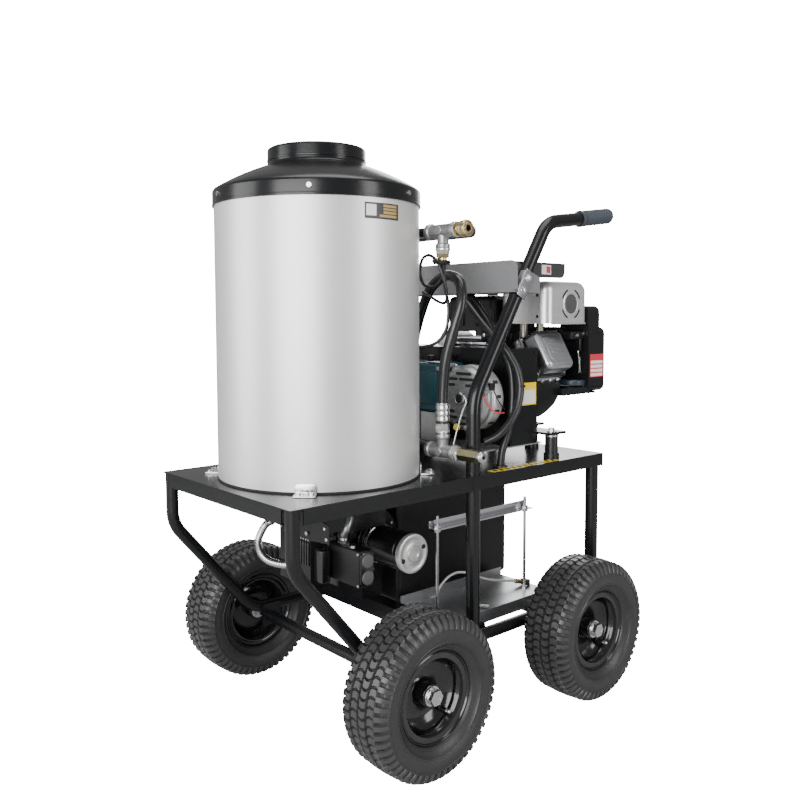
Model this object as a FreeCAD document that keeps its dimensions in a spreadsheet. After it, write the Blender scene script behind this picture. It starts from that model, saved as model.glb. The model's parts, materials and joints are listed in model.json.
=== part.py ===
"""Hot-water pressure washer on a four-wheeled cart, as a parametric FreeCAD document.

Millimetres, +Z up, the ground at Z = 0 and the origin under the middle of the machine.
+X points to the engine and the handles, -X to the coil tank.  Left is -Y.
"""
import FreeCAD, Part
import math
import os
import re

import Sketcher
from FreeCAD import Placement, Rotation, Vector

os.makedirs("parts", exist_ok=True)
doc = FreeCAD.newDocument("PressureWasher")
sheet = doc.addObject("Spreadsheet::Sheet", "Sizes")

# Driving dimensions.  Every name is an alias in the sheet "Sizes".
SIZES = {
    # two pressed steel decks
    "deck_front": -520, "deck_seam": -40, "deck_rear": 440, "deck_half": 256,
    "deck_top": 557, "deck_skirt": 32, "gauge": 3, "seam_gap": 1,
    "notch_radius": 16, "flue_hole": 62, "upright_hole": 16.4,
    "loom_hole": 13, "loom_x": 98, "loom_y": -212, "neck_x": 330, "neck_y": 185, "neck_hole": 27,
    # side rails, uprights and rear legs
    "leg_radius": 14, "leg_bore": 12, "leg_x": -506, "leg_y": 242, "leg_bend": 437,
    "rail_start": -297, "rail_z": 189, "leg_bend_radius": 80,
    "tube_radius": 16, "tube_bore": 13.6, "upright_x": -20, "upright_y": 236.5,
    "upright_bend": 728, "lean_x": 230, "lean_z": 1127, "handle_x": 473, "handle_z": 1159,
    "lean_bend_radius": 120, "handle_bend_radius": 70, "weld_gap": 0.3,
    "rear_leg_x": 420.5, "grip_radius": 19.5, "grip_bore": 16.1, "grip_length": 121, "grip_end": 4,
    # axles and what crosses the frame between the rails
    "front_axle": -255.5, "rear_axle": 276.6, "axle_z": 165, "axle_radius": 9.5, "axle_half": 365,
    "axle_tube_radius": 13.5, "axle_tube_bore": 9.7, "axle_tube_half": 221,
    "hanger_gauge": 6.7, "hanger_low": 146, "hanger_high": 200, "hanger_width": 52,
    "burner_beam_x": -130, "burner_beam_width": 40, "burner_beam_z": 203.6, "burner_beam_height": 36,
    "bed_beam_front": 2, "bed_beam_rear": 300, "bed_beam_width": 30, "bed_beam_height": 25,
    "inside_half": 227.7,
    # wheels: 13 x 5.00-6 tyres on stamped rims
    "wheel_y": 321, "tyre_radius": 165, "tyre_half": 61, "tread_half": 44, "shoulder": 152,
    "bead_radius": 76, "bead_half": 39.5, "tyre_wall": 9, "sidewall_mid": 118,
    "rim_half": 40, "rim_lip": 3, "rim_flange": 91.6, "rim_seat": 75, "rim_wall": 3,
    "dish_out": 8, "dish_in": -6, "dish_step": 50, "hub_radius": 22, "hub_bore": 17.55,
    "hub_out": 28, "hub_in": -34, "bearing_radius": 17.5, "bearing_bore": 9.56,
    "bearing_depth": 12, "bearing_flange": 20, "flange_gauge": 2.5, "flange_gap": 0.4,
    "nut_across": 28, "nut_depth": 11, "washer_radius": 16, "washer_gauge": 2.5, "collar_radius": 14,
    # coil tank
    "tank_x": -266.6, "tank_radius": 223, "tank_wall": 2, "tank_top": 1144, "floor_gauge": 3,
    "lid_radius": 226, "lid_bore": 223.4, "lid_low": 1142, "lid_band": 1175, "dome_radius": 330,
    "collar_outer": 107, "collar_turn": 14, "collar_low": 1231, "collar_high": 1268,
    "coil_radius": 204, "coil_tube": 13, "coil_pitch": 30.4, "coil_turns": 15,
    "tail_length": 99, "low_port": 608, "high_port": 1093, "port_x": -62.6, "port_hole": 15,
    # oil burner under the front deck
    "drum_x": -115, "drum_y": 2, "drum_z": 376, "drum_radius": 80, "drum_width": 92,
    "drum_wall": 3, "throat_x": -330, "throat_y": -50, "throat_width": 118, "throat_z": 424,
    "throat_height": 60, "air_box_length": 34, "air_box_z": 322, "air_tube": 52,
    "cradle_width": 60, "fan_radius": 66, "fan_width": 56,
    "motor_radius": 44, "motor_front": -133, "motor_back": 0, "cap_depth": 12, "shaft_radius": 6,
    "shaft_fit": 6.06, "igniter_x": -290, "igniter_y": -170, "igniter_z": 340,
    "igniter_depth": 39, "igniter_width": 116, "igniter_height": 78, "cap_radius": 15,
    # fuel tank, battery tray and hold-down
    "fuel_x": -33, "fuel_y": 2, "fuel_z": 205, "fuel_length": 400, "fuel_width": 216,
    "fuel_height": 290, "fuel_round": 12, "neck_radius": 22, "neck_top": 582, "cap_outer": 30,
    "cap_height": 24, "tray_x": -45, "tray_y": -176, "tray_length": 363, "tray_width": 156,
    "tray_z": 205, "tray_gauge": 2.5, "tray_back": 26, "tray_lip": 10,
    "rod_front": -27, "rod_rear": 285, "rod_y": -130, "rod_radius": 4, "rod_low": 208,
    "rod_high": 446, "bar_z": 414, "bar_height": 20, "bar_gauge": 3,
    # drive base, engine plate and isolators
    "base_x": 53, "base_length": 213, "base_half": 200, "base_height": 40, "base_hole": 11,
    "plate_x": 250, "plate_width": 64, "plate_half": 235, "plate_z": 617, "plate_gauge": 6,
    "plate_rear": 404, "plate_inner": 96, "isolator_radius": 19, "isolator_x": 276,
    "isolator_y": 220, "isolator_rear_x": 384, "isolator_rear_y": 70,
    # V-twin engine
    "crank_z": 718, "crank_x": 258, "block_length": 170, "block_half": 90, "block_top": 792,
    "sump_flat": 88, "sump_rise": 42,
    "cylinder_x": 332, "cylinder_half": 52, "cylinder_from": 60, "cylinder_to": 152,
    "cylinder_tilt": 60, "fin_half": 56, "fin_gauge": 4, "fin_pitch": 10, "head_to": 172,
    "cover_to": 216, "cover_half": 50, "cover_round": 14,
    "shroud_x": 452, "shroud_width": 68, "shroud_half": 200, "shroud_low": 708,
    "shroud_high": 876, "shroud_round": 18, "hump_high": 932, "hump_width": 90, "skirt_x": 344,
    "skirt_high": 722, "inlet_radius": 66, "inlet_depth": 6,
    "shield_x": 277, "shield_length": 172, "shield_y": -200, "shield_width": 155,
    "shield_z": 887, "shield_height": 106, "shield_round": 25, "shield_bend": 23.5, "shield_wall": 1.5,
    "muffler_radius": 42, "pipe_radius": 10.5, "cleaner_x": 262, "cleaner_length": 178,
    "cleaner_y": -40, "cleaner_width": 166, "cleaner_z": 866, "cleaner_height": 94,
    # belt drive, pump and alternator
    "guard_x": 145, "guard_depth": 100, "guard_half": 200, "guard_low": 597, "guard_high": 829,
    "guard_wall": 2.5, "crank_radius": 14, "crank_pulley": 34,
    "pump_y": 112, "pump_z": 735, "pump_pulley": 68, "pump_shaft": 12, "alternator_y": -146,
    "alternator_z": 716, "alternator_pulley": 30, "alternator_shaft": 8.5, "pulley_width": 24,
    "pump_plane": 168, "alternator_plane": 206, "belt_height": 9, "belt_width": 12,
    "pump_x": 56, "pump_length": 84, "pump_width": 200, "pump_side": -58, "pump_low": 672,
    "pump_height": 120, "pump_round": 8, "head_width": 58, "head_low": 684, "head_height": 96,
    "valve_radius": 17, "alternator_x": 30, "alternator_radius": 78,
    "alternator_length": 82, "bell_radius": 70, "bell_depth": 26, "slot_width": 7,
    # console across the uprights
    "console_x": 104, "console_low": 961, "console_high": 1034, "console_half": 219,
    "console_face": 252.5, "console_gauge": 3, "console_depth": 124, "hood_end": 323,
    "hood_low": 998, "hood_round": 16, "face_chamfer": 15,
    "panel_shaft": 5, "panel_fit": 5.06, "panel_z": 998,
    "thermostat_y": -110, "key_y": 0, "switch_y": 100, "knob_radius": 21, "knob_depth": 20,
    # pipework
    "tee_y": -184, "tee_radius": 15, "tee_half": 40, "nipple_radius": 11, "coupler_radius": 12.5,
    "coupler_bore": 7.1, "coupler_end": -262, "sleeve_radius": 18, "sleeve_bore": 12.55,
    "sleeve_length": 20, "relief_radius": 13, "relief_end": -307,
    "hose_radius": 12, "hose_bore": 8, "loom_radius": 9,
    # fasteners
    "bolt_head": 6.5, "bolt_depth": 5.3, "screw_head": 5,
}
for row, (alias, value) in enumerate(SIZES.items(), start=1):
    sheet.set(f"A{row}", alias)
    sheet.set(f"B{row}", str(value))
    sheet.setAlias(f"B{row}", alias)
doc.recompute()

NODES = []
SIDES = {"left": -1, "right": 1}
ENDS = {"front": "front_axle", "rear": "rear_axle"}
TURNS = {"X": Rotation(Vector(0, 1, 0), 90), "Y": Rotation(Vector(1, 0, 0), -90), "Z": Rotation()}


def size(alias):
    """The number in the sheet's cell of that name."""
    return float(sheet.get(alias))


def formula(words):
    """The expression that FreeCAD reads: each cell's name gets its sheet's name before it."""
    return re.sub(r"\b[a-z][a-z_]+\b(?!\()", lambda found: "Sizes." + found.group(0), str(words))


def amount(words):
    """What a sum of cells and numbers, such as "deck_top - gauge", comes to."""
    total = 0.0
    sign = 1
    for word in str(words).split():
        if word in "+-":
            sign = 1 if word == "+" else -1
        else:
            total += sign * (size(word) if word[0].isalpha() else float(word))
            sign = 1
    return total


def bind(thing, **sizes):
    """Bind each property of an object to its expression."""
    for name, words in sizes.items():
        thing.setExpression(name, formula(words))
    return thing


def place(thing, at, turn=Rotation()):
    """Give an object its rotation, and bind its position to the sheet."""
    thing.Placement = Placement(Vector(), turn)
    for axis, words in zip("xyz", at):
        thing.setExpression("Placement.Base." + axis, formula(words))
    return thing


def node(thing, label):
    """Finish a sub-part: its label is the name of its file."""
    thing.Label = label
    NODES.append(thing)
    return thing


# ---- primitives ----

def box(corner, extent, turn=Rotation()):
    """A block from its low corner and its length, width and height."""
    block = doc.addObject("Part::Box", "Block")
    bind(block, Length=extent[0], Width=extent[1], Height=extent[2])
    return place(block, corner, turn)


def slab(low_x, low_z, length, height, half, middle=0):
    """A block that is centred on Y = middle."""
    return box((low_x, f"{middle} - {half}", low_z), (length, f"2 * {half}", height))


def rod(start, radius, length, along="Z"):
    """A cylinder that runs from its start along +X, +Y or +Z."""
    cylinder = doc.addObject("Part::Cylinder", "Rod")
    bind(cylinder, Radius=radius, Height=length)
    return place(cylinder, start, TURNS[along])


def cone(start, radius, end_radius, length, along="Z"):
    """A cone that runs from its start along +X, +Y or +Z."""
    taper = doc.addObject("Part::Cone", "Taper")
    bind(taper, Radius1=radius, Radius2=end_radius, Height=length)
    return place(taper, start, TURNS[along])


def hexagon(start, across, length, along="Z"):
    """A hexagonal prism, such as a nut, across its flats."""
    prism = doc.addObject("Part::Prism", "Hexagon")
    prism.Polygon = 6
    bind(prism, Circumradius=f"({across}) / 1.732", Height=length)
    return place(prism, start, TURNS[along])


def cut(base, *tools):
    """The base without the tools."""
    result = doc.addObject("Part::Cut", "Cut")
    result.Base = base
    result.Tool = tools[0] if len(tools) == 1 else group(*tools)
    return result


def fuse(*pieces):
    """The pieces as one solid."""
    result = doc.addObject("Part::MultiFuse", "Fusion")
    result.Shapes = list(pieces)
    result.Refine = True
    return result


def group(*pieces):
    """Separate solids, kept together."""
    result = doc.addObject("Part::Compound", "Group")
    result.Links = list(pieces)
    return result


def rounded(base, radius, chosen):
    """The base with the edges that the test chooses rounded."""
    doc.recompute()
    result = doc.addObject("Part::Fillet", "Rounded")
    result.Base = base
    edges = [i for i, edge in enumerate(base.Shape.Edges, start=1) if chosen(edge)]
    result.Edges = [(i, size(radius), size(radius)) for i in edges]
    return result


def bevelled(base, width, chosen):
    """The base with the edges that the test chooses cut at 45 degrees."""
    doc.recompute()
    result = doc.addObject("Part::Chamfer", "Bevelled")
    result.Base = base
    edges = [i for i, edge in enumerate(base.Shape.Edges, start=1) if chosen(edge)]
    result.Edges = [(i, size(width), size(width)) for i in edges]
    return result


def runs_along(axis):
    """A test for straight edges that run along X, Y or Z."""
    index = "XYZ".index(axis)

    def test(edge):
        ends = edge.Vertexes
        if len(ends) != 2:
            return False
        step = ends[1].Point - ends[0].Point
        return abs(abs(step[index]) - edge.Length) < 1e-6
    return test


# ---- bodies with sketches ----

def new_body(label):
    return node(doc.addObject("PartDesign::Body", "Body"), label)


def outline(body, plane, corners, arcs=None):
    """A closed sketch on an origin plane of its body.

    A corner is a pair of sums of cells.  arcs maps a segment's number to its radius: a positive
    one turns left, and a negative one turns right, on the way from its corner to the next.
    """
    arcs = arcs or {}
    sketch = body.newObject("Sketcher::SketchObject", "Outline")
    support = [item for item in body.Origin.OriginFeatures if item.Role == plane + "_Plane"][0]
    sketch.AttachmentSupport = [(support, "")]
    sketch.MapMode = "FlatFace"
    points = [Vector(amount(x), amount(y), 0) for x, y in corners]
    starts = []
    for i, point in enumerate(points):
        following = points[(i + 1) % len(points)]
        if i in arcs:
            sketch.addGeometry(arc_between(point, following, amount(arcs[i])), False)
        else:
            sketch.addGeometry(Part.LineSegment(point, following), False)
        starts.append(2 if amount(arcs.get(i, 0)) < 0 else 1)
    for i, start in enumerate(starts):
        following = (i + 1) % len(points)
        sketch.addConstraint(Sketcher.Constraint("Coincident", i, 3 - start, following, starts[following]))
    for i, corner in enumerate(corners):
        for kind, words, letter in zip(("DistanceX", "DistanceY"), corner, "xy"):
            rule = Sketcher.Constraint(kind, -1, 1, i, starts[i], amount(words))
            name_rule(sketch, sketch.addConstraint(rule), f"corner{i}{letter}", words)
    for i, words in arcs.items():
        rule = Sketcher.Constraint("Radius", i, abs(amount(words)))
        name_rule(sketch, sketch.addConstraint(rule), f"arc{i}", words.lstrip("- "))
    return sketch


def name_rule(sketch, index, name, words):
    sketch.renameConstraint(index, name)
    sketch.setExpression("Constraints." + name, formula(words))


def arc_between(start, end, radius):
    """The shorter arc from start to end, which turns left if its radius is positive."""
    chord = end - start
    left = Vector(-chord.y, chord.x, 0).normalize()
    rise = math.sqrt(radius ** 2 - (chord.Length / 2) ** 2)
    centre = (start + end) / 2 + left * math.copysign(rise, radius)
    first, last = (start, end) if radius > 0 else (end, start)
    angles = [math.atan2(point.y - centre.y, point.x - centre.x) for point in (first, last)]
    if angles[1] < angles[0]:
        angles[1] += 2 * math.pi
    return Part.ArcOfCircle(Part.Circle(centre, Vector(0, 0, 1), abs(radius)), *angles)


def circle(body, plane, centre, radius):
    """A sketch that holds one circle."""
    sketch = body.newObject("Sketcher::SketchObject", "Round")
    support = [item for item in body.Origin.OriginFeatures if item.Role == plane + "_Plane"][0]
    sketch.AttachmentSupport = [(support, "")]
    sketch.MapMode = "FlatFace"
    middle = Vector(amount(centre[0]), amount(centre[1]), 0)
    sketch.addGeometry(Part.Circle(middle, Vector(0, 0, 1), amount(radius)), False)
    for kind, words, letter in zip(("DistanceX", "DistanceY"), centre, "xy"):
        rule = Sketcher.Constraint(kind, -1, 1, 0, 3, amount(words))
        name_rule(sketch, sketch.addConstraint(rule), "centre" + letter, words)
    rule = Sketcher.Constraint("Radius", 0, amount(radius))
    name_rule(sketch, sketch.addConstraint(rule), "radius", radius)
    return sketch


def pad(body, sketch, length, midplane=False, reverse=False):
    feature = body.newObject("PartDesign::Pad", "Pad")
    feature.Profile = sketch
    feature.Midplane = midplane
    feature.Reversed = reverse
    return bind(feature, Length=length)


def pocket(body, sketch, length=None, midplane=False, reverse=False):
    """Cut a sketch out of its body, and make sure that something was cut."""
    doc.recompute()
    before = body.Shape.Volume
    feature = body.newObject("PartDesign::Pocket", "Pocket")
    feature.Profile = sketch
    feature.Midplane = midplane
    feature.Reversed = reverse
    if length is None:
        feature.Type = 1
    else:
        bind(feature, Length=length)
    doc.recompute()
    if body.Shape.Volume >= before:
        raise RuntimeError(f"{body.Label}: a pocket cuts nothing")
    return feature


def revolve(body, sketch, axis="V_Axis"):
    feature = body.newObject("PartDesign::Revolution", "Revolution")
    feature.Profile = sketch
    feature.ReferenceAxis = (sketch, [axis])
    feature.Angle = 360
    return feature


def around(body, feature, count, plane_axis):
    """Repeat a feature around one of the body's own axes."""
    pattern = body.newObject("PartDesign::PolarPattern", "Pattern")
    pattern.Originals = [feature]
    axis = [item for item in body.Origin.OriginFeatures if item.Role == plane_axis + "_Axis"][0]
    pattern.Axis = (axis, [""])
    pattern.Angle = 360
    pattern.Occurrences = count
    body.Tip = pattern
    return pattern


# ---- bent tubes and hoses ----

def bent_path(points, radii):
    """Straight runs joined by tangent arcs.  radii has one radius for each inner point."""
    edges = []
    start = points[0]
    for i, radius in enumerate(radii, start=1):
        corner = points[i]
        arriving = (corner - points[i - 1]).normalize()
        leaving = (points[i + 1] - corner).normalize()
        half_turn = arriving.getAngle(leaving) / 2
        reach = radius * math.tan(half_turn)
        first = corner - arriving * reach
        last = corner + leaving * reach
        inward = (leaving - arriving).normalize()
        middle = corner + inward * (radius / math.cos(half_turn) - radius)
        edges.append(Part.LineSegment(start, first).toShape())
        edges.append(Part.Arc(first, middle, last).toShape())
        start = last
    edges.append(Part.LineSegment(start, points[-1]).toShape())
    return Part.Wire(edges)


def widest_radii(points):
    """The largest arc that the runs on each side of an inner point allow."""
    radii = []
    for before, corner, after in zip(points, points[1:], points[2:]):
        turn = (corner - before).getAngle(after - corner)
        shorter = min((corner - before).Length, (after - corner).Length)
        radii.append(0.45 * shorter / math.tan(turn / 2))
    return radii


def swept(path, radius):
    """A round solid along a path, checked against its section times its length."""
    start = path.Edges[0]
    ring = Part.Circle(start.valueAt(start.FirstParameter), start.tangentAt(start.FirstParameter), radius)
    solid = path.makePipeShell([Part.Wire(ring.toShape())], True, False)
    expected = math.pi * radius ** 2 * path.Length
    if abs(solid.Volume / expected - 1) > 0.01:
        raise RuntimeError(f"a swept tube holds {solid.Volume:.0f}, not {expected:.0f}")
    return solid


def pipe_shape(points, radii, outer, bore=0):
    path = bent_path(points, radii)
    solid = swept(path, outer)
    return solid.cut(swept(path, bore)) if bore else solid


def shaped(shape):
    """An object that holds a shape made from the sheet's sizes."""
    feature = doc.addObject("Part::Feature", "Shaped")
    feature.Shape = shape
    return feature


# ---- frame ----

def front_deck():
    """A pressed tray, open below, whose skirt is notched at the corners for the front legs."""
    body = new_body("front_deck")
    tray(body, "deck_front", "deck_seam - seam_gap")
    inner_x = "leg_x + notch_radius"
    inner_y = "leg_y - notch_radius"
    for low_y, high_y in ((inner_y, "deck_half"), ("- deck_half", "notch_radius - leg_y")):
        notch = rectangle(body, "deck_front", inner_x, low_y, high_y, "gauge")
        pocket(body, notch, "deck_skirt")
    pocket(body, circle(body, "XY", ("tank_x", 0), "flue_hole"), "deck_skirt")
    place(body, (0, 0, "deck_top"))


def tray(body, low_x, high_x):
    """A plate with a skirt all round.  Its top is the body's XY plane."""
    outside = rectangle(body, low_x, high_x, "- deck_half", "deck_half")
    pad(body, outside, "deck_skirt", reverse=True)
    inside = rectangle(body, f"{low_x} + gauge", f"{high_x} - gauge", "gauge - deck_half",
                       "deck_half - gauge", "gauge")
    pocket(body, inside, "deck_skirt")


def rectangle(body, low_x, high_x, low_y, high_y, below=None):
    """A rectangle on the body's XY plane, or at a depth below it."""
    sketch = outline(body, "XY", [(low_x, low_y), (high_x, low_y), (high_x, high_y), (low_x, high_y)])
    if below:
        sketch.setExpression("AttachmentOffset.Base.z", formula(f"-({below})"))
    return sketch


def rear_deck():
    """A second tray, with holes for the uprights, the cable loom and the fuel filler."""
    body = new_body("rear_deck")
    tray(body, "deck_seam", "deck_rear")
    holes = [("upright_x", "upright_y", "upright_hole"), ("upright_x", "- upright_y", "upright_hole"),
             ("loom_x", "loom_y", "loom_hole"), ("neck_x", "neck_y", "neck_hole")]
    for x, y, radius in holes:
        pocket(body, circle(body, "XY", (x, y), radius), "gauge")
    place(body, (0, 0, "deck_top"))


def side_rails():
    """Each front leg and its lower rail are one bent tube."""
    for side, sign in SIDES.items():
        y = sign * size("leg_y")
        points = [Vector(size("leg_x"), y, size("deck_top") - size("gauge")),
                  Vector(size("leg_x"), y, size("leg_bend")),
                  Vector(size("rail_start"), y, size("rail_z")),
                  Vector(size("deck_rear"), y, size("rail_z"))]
        radii = [size("leg_bend_radius")] * 2
        tube = pipe_shape(points, radii, size("leg_radius"), size("leg_bore"))
        node(shaped(tube), f"{side}_side_rail")


def uprights():
    """Each handle is one bent tube that stands on its rail and passes through the rear deck."""
    for side, sign in SIDES.items():
        y = sign * size("upright_y")
        foot = size("rail_z") + size("leg_radius") + size("weld_gap")
        points = [Vector(size("upright_x"), y, foot),
                  Vector(size("upright_x"), y, size("upright_bend")),
                  Vector(size("lean_x"), y, size("lean_z")),
                  Vector(size("handle_x"), y, size("handle_z"))]
        radii = [size("lean_bend_radius"), size("handle_bend_radius")]
        tube = pipe_shape(points, radii, size("tube_radius"), size("tube_bore"))
        node(shaped(tube), f"{side}_upright")


def handle_grips():
    """A closed rubber sleeve over the end of each handle."""
    end = Vector(size("handle_x"), 0, size("handle_z"))
    along = (end - Vector(size("lean_x"), 0, size("lean_z"))).normalize()
    turn = Rotation(Vector(0, 0, 1), along)
    grips = []
    for sign in SIDES.values():
        tip = end + Vector(0, sign * size("upright_y"), 0)
        start = tip - along * size("grip_length")
        sleeve = Part.makeCylinder(size("grip_radius"), size("grip_length") + size("grip_end"))
        hollow = Part.makeCylinder(size("grip_bore"), size("grip_length") + size("weld_gap"))
        sleeve = sleeve.makeFillet(size("grip_end"), [sleeve.Edges[0]]).cut(hollow)
        sleeve.Placement = Placement(start, turn)
        grips.append(sleeve)
    node(shaped(Part.makeCompound(grips)), "handle_grips")


def rear_legs():
    foot = "rail_z + leg_radius + weld_gap"
    legs = []
    for sign in ("-", ""):
        start = ("rear_leg_x", f"{sign} upright_y", foot)
        height = f"deck_top - gauge - ({foot})"
        legs.append(cut(rod(start, "tube_radius", height), rod(start, "tube_bore", height)))
    node(group(*legs), "rear_legs")


def cross_beams():
    """Axle tubes between their hanger plates, the burner's beam and the two bed beams."""
    beams = []
    for axle in ENDS.values():
        start = (axle, "-axle_tube_half", "axle_z")
        tube = rod(start, "axle_tube_radius", "2 * axle_tube_half", "Y")
        bore = rod(start, "axle_tube_bore", "2 * axle_tube_half", "Y")
        beams.append(cut(tube, bore))
        for low_y in ("axle_tube_half", "-axle_tube_half - hanger_gauge"):
            plate = box((f"{axle} - hanger_width / 2", low_y, "hanger_low"),
                        ("hanger_width", "hanger_gauge", "hanger_high - hanger_low"))
            hole = rod((axle, low_y, "axle_z"), "axle_tube_bore", "hanger_gauge", "Y")
            beams.append(cut(plate, hole))
    channel = slab("burner_beam_x", "burner_beam_z", "burner_beam_width", "burner_beam_height",
                   "inside_half")
    hollow = slab("burner_beam_x + gauge", "burner_beam_z", "burner_beam_width - 2 * gauge",
                  "burner_beam_height - gauge", "inside_half")
    beams.append(cut(channel, hollow))
    for low_x in ("bed_beam_front", "bed_beam_rear"):
        beams.append(slab(low_x, "fuel_z - bed_beam_height", "bed_beam_width", "bed_beam_height",
                          "inside_half"))
    node(group(*beams), "cross_beams")


def axles():
    rods = [rod((axle, "-axle_half", "axle_z"), "axle_radius", "2 * axle_half", "Y")
            for axle in ENDS.values()]
    node(group(*rods), "axles")


# ---- wheels ----

def wheels():
    """Four equal wheels: each rim and tyre turns on its own axle end."""
    for end, axle in ENDS.items():
        for side, sign in SIDES.items():
            turn = Rotation(Vector(0, 0, 1), 0 if sign > 0 else 180)
            middle = (axle, "wheel_y" if sign > 0 else "-wheel_y", "axle_z")
            place(tyre(f"{end}_{side}_tyre"), middle, turn)
            place(rim(f"{end}_{side}_rim"), middle, turn)


def tyre(label):
    """A hollow tyre.  The sketch has Y across and the radius up."""
    body = new_body(label)
    bead_in = "bead_half - tyre_wall"
    rise = "rim_flange + 1.5"
    corners = [("bead_half", "bead_radius"), ("bead_half", rise), ("tyre_half", "sidewall_mid"),
               ("tread_half + tyre_wall", "shoulder"), ("tread_half", "tyre_radius"),
               ("- tread_half", "tyre_radius"), ("- tread_half - tyre_wall", "shoulder"),
               ("- tyre_half", "sidewall_mid"), ("- bead_half", rise), ("- bead_half", "bead_radius"),
               ("tyre_wall - bead_half", "bead_radius"), ("tyre_wall - bead_half", rise),
               ("tyre_wall - tyre_half", "sidewall_mid"), ("- tread_half", "shoulder - 1"),
               ("tread_half", "shoulder - 1"), ("tyre_half - tyre_wall", "sidewall_mid"),
               (bead_in, rise), (bead_in, "bead_radius")]
    arcs = {2: "shoulder", 6: "shoulder"}
    revolve(body, outline(body, "YZ", corners), "H_Axis")
    return body


def rim(label):
    """A stamped rim with a stepped dish and a bored hub."""
    body = new_body(label)
    well = "rim_seat - rim_wall"
    lip = "rim_half + rim_lip"
    corners = [(lip, well), (lip, "rim_flange"), ("rim_half", "rim_flange"), ("rim_half", "rim_seat"),
               ("- rim_half", "rim_seat"), ("- rim_half", "rim_flange"),
               ("- rim_half - rim_lip", "rim_flange"),
               ("- rim_half - rim_lip", well), ("dish_out - rim_wall", well),
               ("dish_out - rim_wall", "dish_step"), ("dish_in - rim_wall", "dish_step - 6"),
               ("dish_in - rim_wall", "hub_radius"), ("hub_in", "hub_radius"), ("hub_in", "hub_bore"),
               ("hub_out", "hub_bore"), ("hub_out", "hub_radius"), ("dish_in", "hub_radius"),
               ("dish_in", "dish_step - 6"), ("dish_out", "dish_step"), ("dish_out", well)]
    revolve(body, outline(body, "YZ", corners), "H_Axis")
    return body


def wheel_bearings():
    """A flanged bearing at each end of each hub, fixed on the axle."""
    bearings = []
    for axle in ENDS.values():
        for sign in SIDES.values():
            for outer in (True, False):
                bearings.append(bearing(axle, sign, outer))
    node(group(*bearings), "wheel_bearings")


def bearing(axle, sign, outer):
    reach = 1 if outer else -1
    face = "hub_out" if outer else "hub_in"
    inside = f"{sign} * (wheel_y + {face} - {reach} * bearing_depth)"
    outside = f"{sign} * (wheel_y + {face} + {reach} * (flange_gap + flange_gauge))"
    shelf = f"{sign} * (wheel_y + {face} + {reach} * flange_gap)"
    low = inside if sign * reach > 0 else outside
    flange_low = shelf if sign * reach > 0 else outside
    depth = "bearing_depth + flange_gap + flange_gauge"
    ring = fuse(rod((axle, low, "axle_z"), "bearing_radius", depth, "Y"),
                rod((axle, flange_low, "axle_z"), "bearing_flange", "flange_gauge", "Y"))
    return cut(ring, rod((axle, low, "axle_z"), "bearing_bore", depth, "Y"))


# ---- coil tank ----

def tank_jacket():
    """An open drum with a floor.  The coil's two ends leave it in the direction of -Y."""
    start = ("tank_x", 0, "deck_top")
    height = "tank_top - deck_top"
    drum = rod(start, "tank_radius", height)
    hollow = rod(("tank_x", 0, "deck_top + floor_gauge"), "tank_radius - tank_wall", height)
    flue = rod(start, "flue_hole", "2 * floor_gauge")
    ports = [rod(("port_x", "-tank_radius", z), "port_hole", "tank_radius", "Y")
             for z in ("low_port", "high_port")]
    node(cut(drum, hollow, flue, *ports), "tank_jacket")


def tank_lid():
    """A banded dome with a rolled flue collar on its top."""
    body = new_body("tank_lid")
    corners = [("lid_bore", "lid_low"), ("lid_radius", "lid_low"), ("lid_radius", "lid_band"),
               ("collar_outer", "collar_low"), ("collar_outer", "collar_high"),
               ("collar_outer - collar_turn", "collar_high"),
               ("collar_outer - collar_turn", "collar_high - gauge"),
               ("collar_outer - gauge", "collar_high - gauge"),
               ("collar_outer - gauge", "collar_low - gauge"), ("lid_bore", "lid_band - gauge")]
    arcs = {2: "dome_radius", 8: "- dome_radius"}
    revolve(body, outline(body, "XZ", corners, arcs))
    place(body, ("tank_x", 0, 0))


def heating_coil():
    """One long coil of pipe.  A block turns its top end back, so that both ends leave along -Y."""
    radius = size("coil_radius")
    rise = size("coil_pitch") * size("coil_turns")
    path = Part.Wire(Part.makeHelix(size("coil_pitch"), rise, radius).Edges)
    ring = Part.Circle(Vector(radius, 0, 0), Vector(0, 1, 0), size("coil_tube"))
    coil = path.makePipeShell([Part.Wire(ring.toShape())], True, True)
    expected = math.pi * size("coil_tube") ** 2 * path.Length
    if abs(coil.Volume / expected - 1) > 0.02:
        raise RuntimeError(f"the coil holds {coil.Volume:.0f}, not {expected:.0f}")
    coil.translate(Vector(size("tank_x"), 0, size("low_port")))
    pieces = [coil]
    for z in (size("low_port"), size("high_port")):
        tail = Vector(size("port_x"), -size("tail_length"), z)
        pieces.append(Part.makeCylinder(size("coil_tube"), size("tail_length"), tail, Vector(0, 1, 0)))
    low = size("low_port") + rise - size("coil_tube")
    corner = Vector(size("port_x") - size("coil_tube"), 0, low)
    pieces.append(Part.makeBox(2 * size("coil_tube"), 2 * size("coil_tube"),
                               size("high_port") + size("coil_tube") - low, corner))
    node(shaped(Part.makeCompound(pieces)), "heating_coil")


# ---- burner ----

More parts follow.
